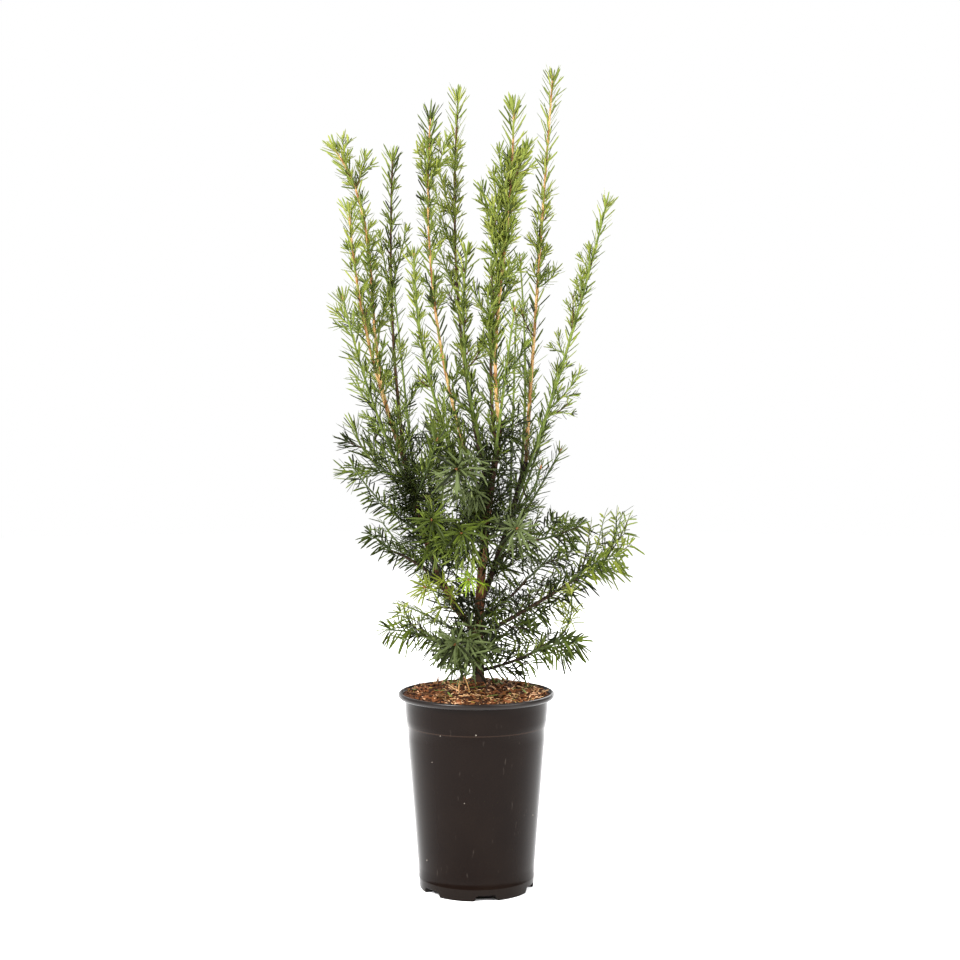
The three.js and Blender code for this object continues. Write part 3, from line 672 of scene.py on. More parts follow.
Shoot = namedtuple("Shoot", "habit on at tip bow tint nod", defaults=["mid", (0, 0, 0)])
SHOOTS = {
    "shoot_centre": Shoot(TALL, "trunk", 1, (39, -48, 833), (-17, -10, -14), "mid", (28, 0, 0)),
    "shoot_centre_back": Shoot(TALL, "trunk", 0.92, (49, 24, 794), (-17, 4, -13)),
    "shoot_middle_short": Shoot(TALL, "trunk", 0.8, (-10, -16, 688), (-14, -6, -3)),
    "shoot_middle_back": Shoot(TALL, "trunk", 0.74, (-21, 100, 877), (-17, 14, -12)),
    "shoot_middle_left": Shoot(TALL, "trunk", 0.68, (-51, 50, 845), (-24, 6, -11)),
    "shoot_front_left": Shoot(TALL, "trunk", 0.6, (-64, -80, 676), (-19, -14, 9), "light"),
    "shoot_left_nodding": Shoot(TALL, "stem_left", 1, (-156, 22, 806), (-21, 4, -1), "mid", (68, 0, 24)),
    "shoot_left_outer": Shoot(TALL, "stem_left", 0.93, (-135, -30, 730), (-11, -8, 5)),
    "shoot_left_inner": Shoot(TALL, "stem_left", 0.9, (-94, 62, 802), (-9, 14, -12)),
    "shoot_right_tallest": Shoot(TALL, "stem_right", 1, (84, 38, 885), (-1, 6, -6)),
    "shoot_right_outer": Shoot(TALL, "stem_right", 0.8, (139, -20, 739), (1, -4, -15)),
    "shoot_centre_front": Shoot(SHORT, "trunk", 0.86, (39, -88, 620), (0, -14, 5), "light"),
    "shoot_left_low": Shoot(SHORT, "stem_left", 0.84, (-140, -50, 635), (-2, -6, -15)),
    "shoot_right_inner": Shoot(SHORT, "stem_right", 0.9, (49, 72, 690), (6, 10, -6)),
    "shoot_back_left": Shoot(SHORT, "stem_left", 0.75, (-96, 112, 668), (0, 20, -10)),
    "shoot_back_right": Shoot(SHORT, "stem_right", 0.7, (46, 116, 630), (0, 22, -8)),
    "shoot_back_outer": Shoot(SHORT, "stem_right", 0.6, (92, 84, 566), (4, 8, -8)),
    # A spray given the dark tint lies deep in the crown, and its dark needles are painted shade.
    "fan_left_upper": Shoot(SHORT, "stem_left", 0.88, (-134, 20, 500), (-8, 0, -10), "dark"),
    "spray_upper_left": Shoot(SHORT, "stem_left", 0.8, (-41, -70, 487), (0, -4, -4), "dark"),
    "spray_right_shoulder": Shoot(SHORT, "stem_right", 0.72, (68, -48, 458), (4, 0, -4)),
    "spray_back_high": Shoot(SHORT, "trunk", 0.56, (10, 102, 470), (0, 6, -4), "dark"),
    "spray_back_left": Shoot(SHORT, "stem_left", 0.6, (-52, 92, 500), (0, 8, -6), "dark"),
    "spray_back_right": Shoot(SHORT, "stem_right", 0.52, (94, 60, 474), (0, 4, -4)),
    "fan_left_lower": Shoot(FEATHER, "stem_left", 0.66, (-134, -14, 460), (-4, 0, -6), "dark"),
    "feather_left": Shoot(FEATHER, "bough_left", 1, (-114, -26, 385), (0, 0, 2)),
    "feather_left_foot": Shoot(FEATHER, "bough_left_foot", 1, (-93, -40, 285), (0, 0, 3), "light"),
    "feather_right_high": Shoot(FEATHER, "bough_right_high", 1, (112, 4, 394), (0, 0, -2)),
    "feather_right_upper": Shoot(FEATHER, "bough_right", 1, (152, 0, 404), (12, 0, -10), "light"),
    "feather_right_lower": Shoot(FEATHER, "bough_right", 0.9, (152, -12, 359), (0, 0, 7), "light"),
    "feather_right_foot": Shoot(FEATHER, "bough_right_foot", 0.76, (108, -38, 272), (0, -4, 4)),
    "feather_back_left": Shoot(FEATHER, "bough_back_left", 1, (-108, 92, 392), (0, 0, -4)),
    "feather_back": Shoot(FEATHER, "bough_back", 1, (-12, 118, 318), (0, 0, -4)),
    "feather_back_right": Shoot(FEATHER, "bough_back_right", 1, (98, 100, 372), (0, 0, -4)),
    "feather_left_back_foot": Shoot(FEATHER, "trunk", 0.14, (-84, 60, 300), (0, 0, 6)),
    "feather_right_back_foot": Shoot(FEATHER, "trunk", 0.11, (72, 74, 286), (0, 0, 6)),
    "tuft_left_bright": Shoot(TUFT, "stem_left", 0.22, (-54, -52, 332), (0, 0, 4), "bright"),
    "tuft_front_bright": Shoot(TUFT, "trunk", 0.4, (-8, -72, 342), (0, 0, 3), "young"),
    "tuft_right_foot": Shoot(TUFT, "bough_right_foot", 1, (101, -30, 326), (10, 0, -8), "bright"),
    "spray_front_low": Shoot(TUFT, "trunk", 0.09, (-22, -84, 276), (0, 0, 12), "blue"),
    "spray_front_star": Shoot(TUFT, "trunk", 0.7, (-20, -106, 458), (0, 0, 10), "blue"),
    "spray_front_left": Shoot(TUFT, "stem_left", 0.5, (-46, -85, 405), (0, 0, 6), "light"),
    "spray_front_middle": Shoot(TUFT, "trunk", 0.52, (-15, -92, 392), (0, 0, 6), "light"),
    "spray_front_right": Shoot(TUFT, "stem_right", 0.36, (42, -84, 396), (0, 0, 4), "blue"),
}
names, shoots = list(SHOOTS), list(SHOOTS.values())
leaders = np.stack([
    curve_of(point_at(limb_curves[shoot.on], shoot.at), shoot.tip, shoot.bow, shoot.nod)
    for shoot in shoots
])
SEED = 17
seeds = np.array([SEED * len(name) + shoot.tip[2] for name, shoot in SHOOTS.items()], float)
print("shoots:", len(names), "longest:", round(float(curve_lengths(leaders).max())), "mm")

# %% [markdown]
# Shoots of one habit still differ: some are strong and densely twigged, others bare and thin. Vigour
# scales the length of a shoot's twigs and needles, sparse widens the pitch of its finer twigs, start
# is the share of its length where they begin, bare_top the mm that they leave free under its tip,
# crowd under 1 draws them towards the tip, and thin widens the spacing of its own needles.

# %% How each shoot grows
Growth = namedtuple("Growth", "vigour sparse start bare_top crowd thin", defaults=[1, 1, 0.04, 24, 0.5, 1])
GROWTH = {
    "shoot_centre": Growth(1.25, 0.7, 0.3, 46, crowd=0.36),
    "shoot_centre_back": Growth(1.2, 0.6, 0.35, crowd=0.36),
    "shoot_middle_short": Growth(0.85),
    "shoot_middle_back": Growth(1, 0.8, 0.25, 46),
    "shoot_middle_left": Growth(1.1, 0.72, 0.4),
    "shoot_front_left": Growth(0.8),
    "shoot_left_nodding": Growth(1, 0.85),
    "shoot_left_outer": Growth(start=0.2),
    "shoot_left_inner": Growth(0.9, 1.5, 0.4),
    "shoot_right_tallest": Growth(1, 1.3, 0.3, 92),
    "shoot_right_outer": Growth(0.75, 1.7, bare_top=60),
    "shoot_centre_front": Growth(0.6, 1.5, thin=1.8),
    "shoot_left_low": Growth(0.88),
    "shoot_right_inner": Growth(0.6, 2.5, thin=1.8),
    "shoot_back_left": Growth(0.6, 3, thin=1.8),
    "shoot_back_right": Growth(0.6, 3, thin=1.8),
    "shoot_back_outer": Growth(0.6, 3),
    "spray_right_shoulder": Growth(0.42, 2),
    "spray_back_right": Growth(0.5, 1.8),
    "fan_left_lower": Growth(0.5, 3),
    "feather_left": Growth(0.42, 3),
    "feather_left_foot": Growth(0.8, 2.2),
    "feather_right_high": Growth(0.8),
    "feather_right_upper": Growth(0.6, 5),
    "feather_right_lower": Growth(0.55, 2.5),
    "feather_right_foot": Growth(1, 3),
    "feather_back_left": Growth(0.6, 3),
    "feather_left_back_foot": Growth(0.75, 1.6),
    "tuft_left_bright": Growth(0.75),
    "tuft_front_bright": Growth(0.4, 4),
    "tuft_right_foot": Growth(0.68),
    "spray_front_low": Growth(1.25),
    "spray_front_star": Growth(1.12, 9),
    "spray_front_right": Growth(1, 3),
}
growth = [GROWTH.get(name, Growth()) for name in names]
print("shoots with a growth of their own:", len(GROWTH))

# %% [markdown]
# The twigs of one stem are one array. Each gets its place along the stem, its turn round it, and a
# length that falls towards the tip and varies a little by chance.

# %% The branching rule
MEAN_SHARE = 0.364
Branching = namedtuple(
    "Branching", "count start end length angle flat arch taper bunch crowd", defaults=[0.55, 1, 1]
)


def twigs_on(curve, rule, seed, roll=0.0):
    """Curves of the twigs on one stem. Twig i, of knot k = i / bunch, leaves at the share start +
    (end - start) place^crowd, where place is (bunch (k + 0.6 chance) + 0.3 (i - bunch k)) / count,
    so that a crowd under 1 sets more of them near the tip. Its length is
    length (1 + taper (MEAN_SHARE - share))(0.85 + 0.3 chance), and it points along the stem and outwards
    by the cosine and sine of the angle, bowed by arch times its length."""
    i = np.arange(rule.count)
    knot = i // rule.bunch
    place = (rule.bunch * (knot + 0.6 * chance(seed + knot)) + 0.3 * (i % rule.bunch)) / rule.count
    share = rule.start + (rule.end - rule.start) * place**rule.crowd
    point, along, side, over = frame_at(np.broadcast_to(curve, (rule.count, 4, 3)), share)
    swing = 0.5 * (chance(seed + 3 * i) - 0.5)
    turn = roll + i * np.pi + swing if rule.flat else seed + i * GOLDEN_ANGLE
    out = side * np.cos(turn)[:, None] + over * np.sin(turn)[:, None]
    taper = 1 + rule.taper * (MEAN_SHARE - share)
    length = (rule.length * taper * (0.85 + 0.3 * chance(seed + 7 * i)))[:, None]
    lean = np.radians(rule.angle)
    tip = point + (along * np.cos(lean) + out * np.sin(lean)) * length
    return curve_of(point, tip, (out - along) * rule.arch * length)


# %% [markdown]
# Every stem of the crown is one record: its curve, its mass, its level (0 the shoot, 1 a twig, 2 a
# twiglet, 3 a clothed bough), its roll, its seed and the tint that it is given. Roll turns the flat
# comb of a spray about its stem, so that it shows its face as in the photograph.

# %% Grow the shoots
Stem = namedtuple("Stem", "curve mass level roll seed given")
GIVEN = {"young": 0, "bright": 1, "light": 2, "mid": 3, "dark": 5, "blue": 6, "shade": 7}
ROLL = {
    "feather_right_upper": 65,
    "feather_right_lower": 70,
    "feather_right_high": 60,
    "feather_right_foot": 60,
    "feather_left": 125,
    "feather_left_foot": 120,
    "fan_left_lower": 120,
}
USUAL_ROLL = 30
MAIN = {"angle": 43, "arch": 0.07, "tall_length": 0.75, "twiglet_over": 20, "seed_step": 11}
FINER = {"angle": 38, "arch": 0.05, "taper": 0.9, "twiglet_over": 24, "seed_step": 3, "seed": 41}
TWIGLET = {"start": 0.22, "end": 0.82, "length": 15, "angle": 38, "arch": 0.04, "seed": 97}


def twiglets(twig, stem, count=1):
    """Twiglets of about 15 mm on one twig."""
    start, end, length, angle, arch, first_seed = TWIGLET.values()
    rule = Branching(count, start, end, length, angle, shoots[stem.mass].habit.flat, arch)
    curves = twigs_on(twig, rule, stem.seed + first_seed, stem.roll)
    return [stem._replace(curve=c, level=2, seed=stem.seed + k) for k, c in enumerate(curves)]


def with_twiglets(twigs, stem, sizes):
    """The twigs as stems of level 1, each followed by a twiglet if it is longer than a limit."""
    grown = []
    for i, twig in enumerate(twigs):
        grown.append(stem._replace(curve=twig, level=1, seed=stem.seed + 5 * i))
        if curve_lengths(twig[None])[0] > sizes["twiglet_over"]:
            grown += twiglets(twig, stem._replace(seed=stem.seed + sizes["seed_step"] * i))
    return grown


def finer_twigs(stem, start, end, pitch, length):
    """Twigs at every pitch along a stem, from a start share to an end share, and their twiglets."""
    habit = shoots[stem.mass].habit
    count = max(2, round(curve_lengths(stem.curve[None])[0] * (end - start) / pitch))
    crowd = growth[stem.mass].crowd if habit is TALL else 1
    angle, arch, taper = FINER["angle"], FINER["arch"], FINER["taper"]
    rule = Branching(count, start, end, length, angle, habit.flat, arch, taper, habit.bunch, crowd)
    return with_twiglets(twigs_on(stem.curve, rule, stem.seed, stem.roll), stem, FINER)


stems = []
for mass, (name, shoot, grows) in enumerate(zip(names, shoots, growth)):
    habit = shoot.habit
    roll = np.radians(ROLL.get(name, USUAL_ROLL))
    stem = Stem(leaders[mass], mass, 0, roll, seeds[mass], GIVEN[shoot.tint])
    length = habit.length * grows.vigour * (MAIN["tall_length"] if habit is TALL else 1)
    main = Branching(habit.twigs, habit.start, habit.end, length, MAIN["angle"], habit.flat, MAIN["arch"])
    stems += [stem, *with_twiglets(twigs_on(stem.curve, main, stem.seed), stem, MAIN)]
    end = 1 - grows.bare_top / curve_lengths(stem.curve[None])[0]
    fine = stem._replace(seed=stem.seed + FINER["seed"])
    stems += finer_twigs(fine, grows.start, end, habit.pitch * grows.sparse, habit.finer * grows.vigour)
print("stems and twigs of the shoots:", len(stems))

# %% [markdown]
# The limbs are clothed too. They carry needles and short twigs of their own, which belong to the
# spray at the limb's end, or for the trunk and the side stems to one in front of them. A limb in the
# dark of the crown gets darker needles, the tints dark and shade, as painted shade.

# %% Clothe the limbs
CLOTHED_BY = {
    "trunk": "spray_front_low",
    "stem_left": "spray_front_left",
    "stem_right": "spray_front_right",
}
for name, shoot in SHOOTS.items():
    if shoot.on.startswith("bough"):
        CLOTHED_BY.setdefault(shoot.on, name)
clothed = {limb: names.index(name) for limb, name in CLOTHED_BY.items()}

Cover = namedtuple("Cover", "limb start end pitch length tint")
# The shade and dark tints of this clothing are painted shade for the limbs inside the crown.
CLOTHING = [
    Cover("trunk", 0.02, 0.3, 5, 30, "shade"),
    Cover("trunk", 0.54, 0.98, 4, 32, "shade"),
    Cover("stem_left", 0.1, 0.42, 12, 22, "shade"),
    Cover("stem_left", 0.42, 0.98, 6, 34, "shade"),
    Cover("stem_right", 0.15, 0.5, 12, 24, "dark"),
    Cover("stem_right", 0.5, 0.98, 12, 22, "mid"),
    Cover("bough_right", 0.12, 1, 9.5, 26, "dark"),
    Cover("bough_right_foot", 0.08, 1, 11, 25, "dark"),
    Cover("bough_left", 0.3, 1, 40, 18, "shade"),
    Cover("bough_left_foot", 0.15, 1, 20, 15, "shade"),
]
listed = {cover.limb for cover in CLOTHING}
for limb in clothed:
    if limb not in listed:
        CLOTHING.append(Cover(limb, 0.15, 1, 18, 26, "shade"))
CLOTHING_SEED = 61.0
for number, (limb, start, end, pitch, length, tint) in enumerate(CLOTHING):
    mass = clothed[limb]
    roll = np.radians(ROLL.get(names[mass], USUAL_ROLL))
    stem = Stem(limb_curves[limb], mass, 3, roll, CLOTHING_SEED + 19 * number, GIVEN[tint])
    if limb.startswith("bough"):
        stems.append(stem)
    stems += finer_twigs(stem, start, end, pitch, length)
print("stretches of limb clothed:", len(CLOTHING))

# %% [markdown]
# Some side twigs stand out in the photograph, and they are placed one by one: each leaves its shoot
# or limb at a share of its length and ends at a given tip.

# %% Twigs placed one by one
PLACED_TWIGS = [
    ("shoot_left_nodding", [(0.92, (-147, 30, 817)), (0.84, (-121, 22, 797))]),
    ("shoot_left_outer", [(0.5, (-150, -23, 624))]),
    ("shoot_front_left", [(0.55, (-43, -66, 582))]),
    ("shoot_middle_left", [(0.84, (-59, 48, 813)), (0.84, (-32, 49, 822))]),
    ("shoot_centre", [
        (0.6, (6, -44, 753)), (0.8, (54, -47, 796)), (0.5, (14, -46, 714)), (0.38, (15, -50, 668)),
        (0.3, (12, -50, 640)), (0.24, (11, -46, 612)),
    ]),
    ("shoot_left_inner", [(0.6, (-108, 56, 716)), (0.62, (-79, 60, 722))]),
    ("shoot_left_nodding", [(0.4, (-118, 8, 652)), (0.36, (-94, 8, 646))]),
    ("shoot_centre", [(0.55, (17, -52, 736)), (0.62, (18, -42, 768)), (0.7, (24, -54, 788))]),
    ("shoot_front_left", [(0.22, (-52, -50, 520)), (0.12, (-22, -44, 506)), (0.3, (-34, -62, 540))]),
    ("shoot_middle_left", [(0.12, (-22, 16, 516)), (0.1, (-50, 18, 502))]),
    ("shoot_left_low", [(0.2, (-84, -24, 520))]),
    ("fan_left_upper", [(0.4, (-112, 4, 502))]),
    ("fan_left_lower", [(0.15, (-90, -18, 434))]),
    ("bough_right", [
        (0.3, (58, -14, 322)), (0.42, (74, -12, 340)), (0.55, (88, -8, 358)), (0.72, (104, 2, 372)),
        (0.85, (122, 0, 364)),
    ]),
    ("stem_left", [
        (0.75, (-42, -18, 410)), (0.65, (-34, -20, 396)), (0.55, (-28, -24, 378)),
        (0.45, (-18, -22, 360)),
    ]),
    ("trunk", [(0.66, (-18, -14, 404))]),
    ("stem_left", [
        (0.84, (-24, -20, 426)), (0.72, (-74, -2, 438)), (0.78, (-80, 10, 448)), (0.68, (-88, 4, 442)),
        (0.62, (-66, -10, 430)), (0.9, (-62, -26, 476)), (0.85, (-50, -28, 462)),
        (0.8, (-72, -24, 462)), (0.97, (-58, -18, 510)),
    ]),
    ("trunk", [(0.62, (-8, -22, 422)), (0.56, (-14, 14, 414)), (0.95, (46, -20, 512))]),
    ("bough_right_high", [(0.6, (66, -22, 404)), (0.9, (86, -16, 422))]),
    ("tuft_right_foot", [(0.5, (98, -30, 305))]),
    ("shoot_right_tallest", [(0.5, (67, 33, 732))]),
    ("shoot_right_outer", [
        (0.62, (104, -15, 643)), (0.72, (112, -17, 667)), (0.8, (121, -18, 692)),
        (0.36, (112, -8, 560)),
    ]),
    ("feather_right_upper", [
        (0.3, (158, -12, 408)), (0.12, (138, -14, 404)), (0.04, (124, -4, 394)), (0.55, (166, 2, 402)),
        (0.5, (166, -10, 374)),
    ]),
    ("feather_right_high", [(0.25, (94, -12, 402))]),
    ("feather_left_foot", [(0.3, (-78, -42, 312))]),
    ("bough_left_foot", [(0.8, (-72, -36, 294)), (0.6, (-60, -42, 282))]),
    ("spray_front_low", [(0.4, (-48, -62, 278))]),
    ("bough_right", [(0.62, (84, -14, 332)), (0.5, (64, -18, 352))]),
    ("fan_left_upper", [(0.75, (-142, 16, 486))]),
    ("shoot_middle_back", [(0.52, (-52, 80, 742)), (0.62, (-48, 84, 772)), (0.7, (-44, 88, 802))]),
    ("stem_right", [(0.3, (50, -24, 366))]),
    ("trunk", [(0.3, (34, -22, 318))]),
    ("spray_front_low", [
        (0.5, (-42, -66, 256)), (0.6, (-8, -78, 254)), (0.7, (-24, -82, 246)), (0.3, (10, -52, 262)),
    ]),
    ("spray_upper_left", [(0.3, (-44, -20, 440)), (0.5, (-36, -40, 452)), (0.4, (-30, -36, 468))]),
    ("spray_front_left", [(0.6, (-46, -60, 424)), (0.5, (-38, -66, 374))]),
    ("spray_front_star", [
        (0.5, (-36, -60, 440)), (0.7, (-34, -88, 446)), (0.5, (-18, -68, 426)), (0.35, (-4, -50, 428)),
    ]),
    ("spray_front_right", [(0.6, (30, -64, 414))]),
    ("spray_front_middle", [
        (0.5, (-30, -60, 398)), (0.4, (-26, -46, 364)), (0.7, (-14, -70, 360)), (0.7, (-34, -76, 380)),
    ]),
]
SHORT_TWIG = 26
SAG = (0, 0, -0.07)
PLACED_SEED = 300.0
placed = [(name, share, tip) for name, twigs in PLACED_TWIGS for share, tip in twigs]
for number, (name, share, tip) in enumerate(placed):
    on_limb = name in LIMBS
    mass = clothed[name] if on_limb else names.index(name)
    carrier = limb_curves[name] if on_limb else leaders[mass]
    # A twig on a limb takes a painted-shade tint: shade on the left stem, dark on the others.
    tint = SHOOTS[name].tint if not on_limb else "shade" if name == "stem_left" else "dark"
    base, tip = point_at(carrier, share), np.array(tip, float)
    long = np.linalg.norm(tip - base)
    roll = np.radians(ROLL.get(names[mass], 0))
    seed = PLACED_SEED + 7 * number
    stem = Stem(curve_of(base, tip, np.array(SAG) * long), mass, 1, roll, seed, GIVEN[tint])
    stems.append(stem)
    short, flat = long < SHORT_TWIG, shoots[mass].habit.flat
    if not (short and flat):
        stems += twiglets(stem.curve, stem, 1 if short or flat else 3)
print("twigs placed by hand:", len(placed), "stems and twigs in all:", len(stems))

# %% [markdown]
# A twig whose tip would leave its shoot's sleeve, dip into the compost or run into a limb is left
# out. So is every needle that would, further down. The test is one array of the distances between
# all tips and all points of the limbs.

# %% Keep what stays in its space
SOIL_CLEAR, LIMB_CLEAR, NEEDLE_ROOM = 226, 0.5, 10
BOUGH_REACH = 46
stem_curves, stem_mass, stem_level, stem_roll, stem_seed, stem_given = (
    np.array([getattr(stem, field) for stem in stems]) for field in Stem._fields
)
spine = along_curves(leaders, np.linspace(0, 1, 40))
reach = np.repeat([[shoot.habit.reach] for shoot in shoots], 40, 1).astype(float)
bough_spine, bough_reach = spine.copy(), reach.copy()
for limb, mass in clothed.items():
    bough_spine[mass] = along_curves(limb_curves[limb][None], np.linspace(0.03, 1, 40))[0]
    bough_reach[mass] = BOUGH_REACH
spine, reach = np.concatenate([spine, bough_spine], 1), np.concatenate([reach, bough_reach], 1)
limb_points = along_curves(np.stack(list(limb_curves.values())), np.linspace(0, 1, 80)).reshape(-1, 3)
limb_radii = np.concatenate([np.linspace(*limb.radii, 80) for limb in LIMBS.values()])


def in_space(tips, mass, margin=0.0):
    """Whether each tip lies within its shoot's reach less a margin, above the compost, and outside
    every limb, by the squared distance a^2 + b^2 - 2 ab."""
    gap = np.linalg.norm(spine[mass] - tips[:, None], axis=-1) - reach[mass]
    square = (tips**2).sum(1)[:, None] + (limb_points**2).sum(1) - 2 * tips @ limb_points.T
    clear = (square > (limb_radii + LIMB_CLEAR) ** 2).all(1)
    return (gap.min(1) < -margin) & (tips[:, 2] > SOIL_CLEAR) & clear


kept = np.isin(stem_level, (0, 3)) | in_space(stem_curves[:, 3], stem_mass, NEEDLE_ROOM)
stem_curves, stem_mass, stem_level = stem_curves[kept], stem_mass[kept], stem_level[kept]
stem_roll, stem_seed, stem_given = stem_roll[kept], stem_seed[kept], stem_given[kept]
stem_length = curve_lengths(stem_curves)
print("kept:", kept.sum(), "total length:", round(stem_length.sum() / 1000, 1), "m")

# %% [markdown]
# ### Needles
# A yew needle is a flat blade of 10 to 30 mm, about 2 mm wide, with a short stalk, nearly
# parallel sides and a sharp tip. A rib runs along both faces, so its section is a flat lozenge. The
# upper face is dark and glossy, and the lower one pale and matt. That difference gives an upright
# shoot its mix of dark and light needles, so each needle is a closed blade with two finishes.

# %% Needle blade
NEEDLE_SHARES = np.array([0.0, 0.28, 0.86])
NEEDLE_WIDTHS = np.array([0.45, 1.0, 0.82])
RIB = {"share": 0.16, "least": 0.1}


def needles(root, direction, across, upper, length, width, bend):
    """Blades: centre(t) = root + direction L t + bend L t^2. At each ring the four corners stand off
    by half the width across and by the rib up and down, and the last ring closes on the tip. The rib
    is a share of half the width, and the least in mm more."""
    t = NEEDLE_SHARES[None, :, None]
    far = length[:, None, None]
    centre = root[:, None] + direction[:, None] * far * t + bend[:, None] * far * t**2
    half = (width[:, None] * NEEDLE_WIDTHS / 2)[..., None]
    edge, rib = across[:, None] * half, upper[:, None] * (RIB["share"] * half + RIB["least"])
    rings = np.stack([centre + edge, centre + rib, centre - edge, centre - rib], 2)
    tip = root + (direction + bend) * length[:, None]
    points = np.concatenate([rings.reshape(len(root), -1, 3), tip[:, None]], 1)
    rows = len(NEEDLE_SHARES)
    quads = np.concatenate([grid_quads(rows, 4), [[3, 2, 1, 0]]])
    last = (rows - 1) * 4
    fan = np.array([[last + k, last + (k + 1) % 4, rows * 4] for k in range(4)])
    quad_kinds = np.tile([*[0, 0, 1, 1] * (rows - 1), 1], len(root))
    fan_kinds = np.tile([0, 0, 1, 1], len(root))
    return *copies(points, [quads, fan]), np.concatenate([quad_kinds, fan_kinds])


# %% [markdown]
# Needles stand round a stem by the golden angle and lean forward by 40 to 60 degrees. On a flat
# shoot their stalks are twisted so that they lie in two rows, with their upper faces to the sky.
# They crowd at the tip of each stem, where they are also shorter and stand more upright. All this
# is held in tables with a row for each habit and a column for each level of stem.

# %% Needle tables
# Rows: tall, short, feather, tuft. Columns: shoot, twig, twiglet, bough.
SPACING = np.array([
    [2.5, 1.7, 1.6, 3],
    [2.4, 2.1, 2.1, 3],
    [2.8, 2.9, 2.9, 1.6],
    [2.8, 2.4, 2.4, 3],
])
BLADE_SHARE = np.array([
    [1.05, 0.72, 0.6, 1],
    [1.05, 0.9, 0.8, 1],
    [1, 0.95, 0.85, 0.85],
    [1.05, 0.92, 0.8, 1],
])
BARE = np.array([
    [0.08, 0.1, 0.1, 0],
    [0.05, 0.12, 0.12, 0],
    [0, 0.1, 0.1, 0.1],
    [0.7, 0.12, 0.1, 0],
])
CROWN = np.array([[10, 4, 4, 0], [8, 4, 3, 0], [4, 3, 3, 0], [14, 5, 4, 0]])
PACKING = np.array([[1.35, 1.15, 1.15, 1], *[[1.15, 1.15, 1.15, 1]] * 3])
# By habit: the forward curl, the droop and the sideways bend.
FORWARD = np.array([0.05, 0.08, 0.1, -0.1])
DROOP = np.array([0, 0.04, 0.3, 0.2])
SIDEWAYS = np.array([0.16, 0.16, 0.16, 0.32])
# By level: the width, the spread of the rows, the mm from the tip and the mm from the stem's middle.
WIDTH_SHARE = np.array([1.12, 0.92, 0.9, 1])
ROW_SPREAD = np.array([0.8, 0.8, 0.8, 3.2])
PAST_TIP = np.array([0, 0, 0, 50])
STAND_OFF = np.array([1.3, 0.7, 0.5, 2.0])

# %% [markdown]
# The number of needles follows from a stem's length, and from then on one array holds all needles of
# the plant: the stem that each belongs to, its rank on that stem and its share of the way along it.

# %% Count the needles
habits = np.array([[habit.blade, habit.width, habit.lean, habit.twist] for habit in HABITS])
stem_habit = np.array([HABITS.index(shoot.habit) for shoot in shoots])[stem_mass]
bare, crowned = BARE[stem_habit, stem_level], CROWN[stem_habit, stem_level]
thin = np.where(stem_level == 0, np.array([grows.thin for grows in growth])[stem_mass], 1)
spacing = thin * SPACING[stem_habit, stem_level]
counts = np.round(stem_length * (1 - bare) / spacing).astype(int).clip(3)
owner = np.repeat(np.arange(len(counts)), counts + crowned)
rank = np.arange(len(owner)) - (np.cumsum(counts + crowned) - counts - crowned)[owner]
seed = stem_seed[owner] + 0.37 * rank
kind, level, mass = stem_habit[owner], stem_level[owner], stem_mass[owner]
flat = kind == HABITS.index(FEATHER)
in_crown = rank >= counts[owner]


def spread(step, width):
    """Chance from -width / 2 to width / 2 for each needle, with its own step of the seed."""
    return width * (chance(seed + step) - 0.5)


in_row = np.clip(1 - (rank + 0.5 + spread(0, 0.6)) / counts[owner], 0, 1)
share = bare[owner] + (1 - bare[owner]) * (1 - in_row ** PACKING[kind, level])
share = np.where(in_crown, 1 - 3 * chance(seed + 9.7) / stem_length[owner], share)
to_tip = (1 - share) * stem_length[owner] + PAST_TIP[level]
print("needles:", len(owner), "in crowns at the tips:", in_crown.sum())

# %% [markdown]
# Each needle then gets its direction, the directions across it and up from it, its size and its
# bend. The twist of a flat shoot's stalks turns each upper face to the side where the sky is.

# %% Aim the needles
FLAT_TWIST, CROWN_LEAN, CROWN_SIZE, TIP_FADE, CURL = 1.4, 16, 0.8, 60, 0.03
LEAST_VIGOUR = {"right": 0.96, "left": 0.8}
# How far chance spreads the turn in radians, the lean in degrees, and the rest as shares.
TURN_SPREAD, LEAN_SPREAD, SIZE_SPREAD, WIDTH_SPREAD, CURL_SPREAD = 0.5, 18, 0.36, 0.25, 0.2

point, along, side, over = frame_at(stem_curves[owner], share)
row = np.where(rank % 2, -1.0, 1.0)
turn_round = stem_seed[owner] + rank * GOLDEN_ANGLE + spread(1.1, TURN_SPREAD)
turn_flat = stem_roll[owner] + np.where(row < 0, np.pi, 0) + spread(1.1, 1) * ROW_SPREAD[level]
turn = np.where(flat, turn_flat, turn_round)[:, None]
out = side * np.cos(turn) + over * np.sin(turn)

blade, width, lean, twist = habits[kind].T
lean_in_crown = CROWN_LEAN + 0.9 * lean * chance(seed + 9.1)
lean = np.where(in_crown, lean_in_crown, lean + spread(2.3, LEAN_SPREAD))
lean = np.radians(lean * np.where(in_crown, 1, np.clip(0.8 + to_tip / TIP_FADE, 0.8, 1)))[:, None]
direction = along * np.cos(lean) + out * np.sin(lean)
upper, across = along * np.sin(lean) - out * np.cos(lean), np.cross(along, out)
sky = np.where(across[:, 2] * row > 0, 1.0, -1.0)
twist = (np.where(flat, FLAT_TWIST * row * sky, 0) + spread(3.7, 1) * twist)[:, None]
cosine, sine = np.cos(twist), np.sin(twist)
upper, across = upper * cosine + across * sine, across * cosine - upper * sine

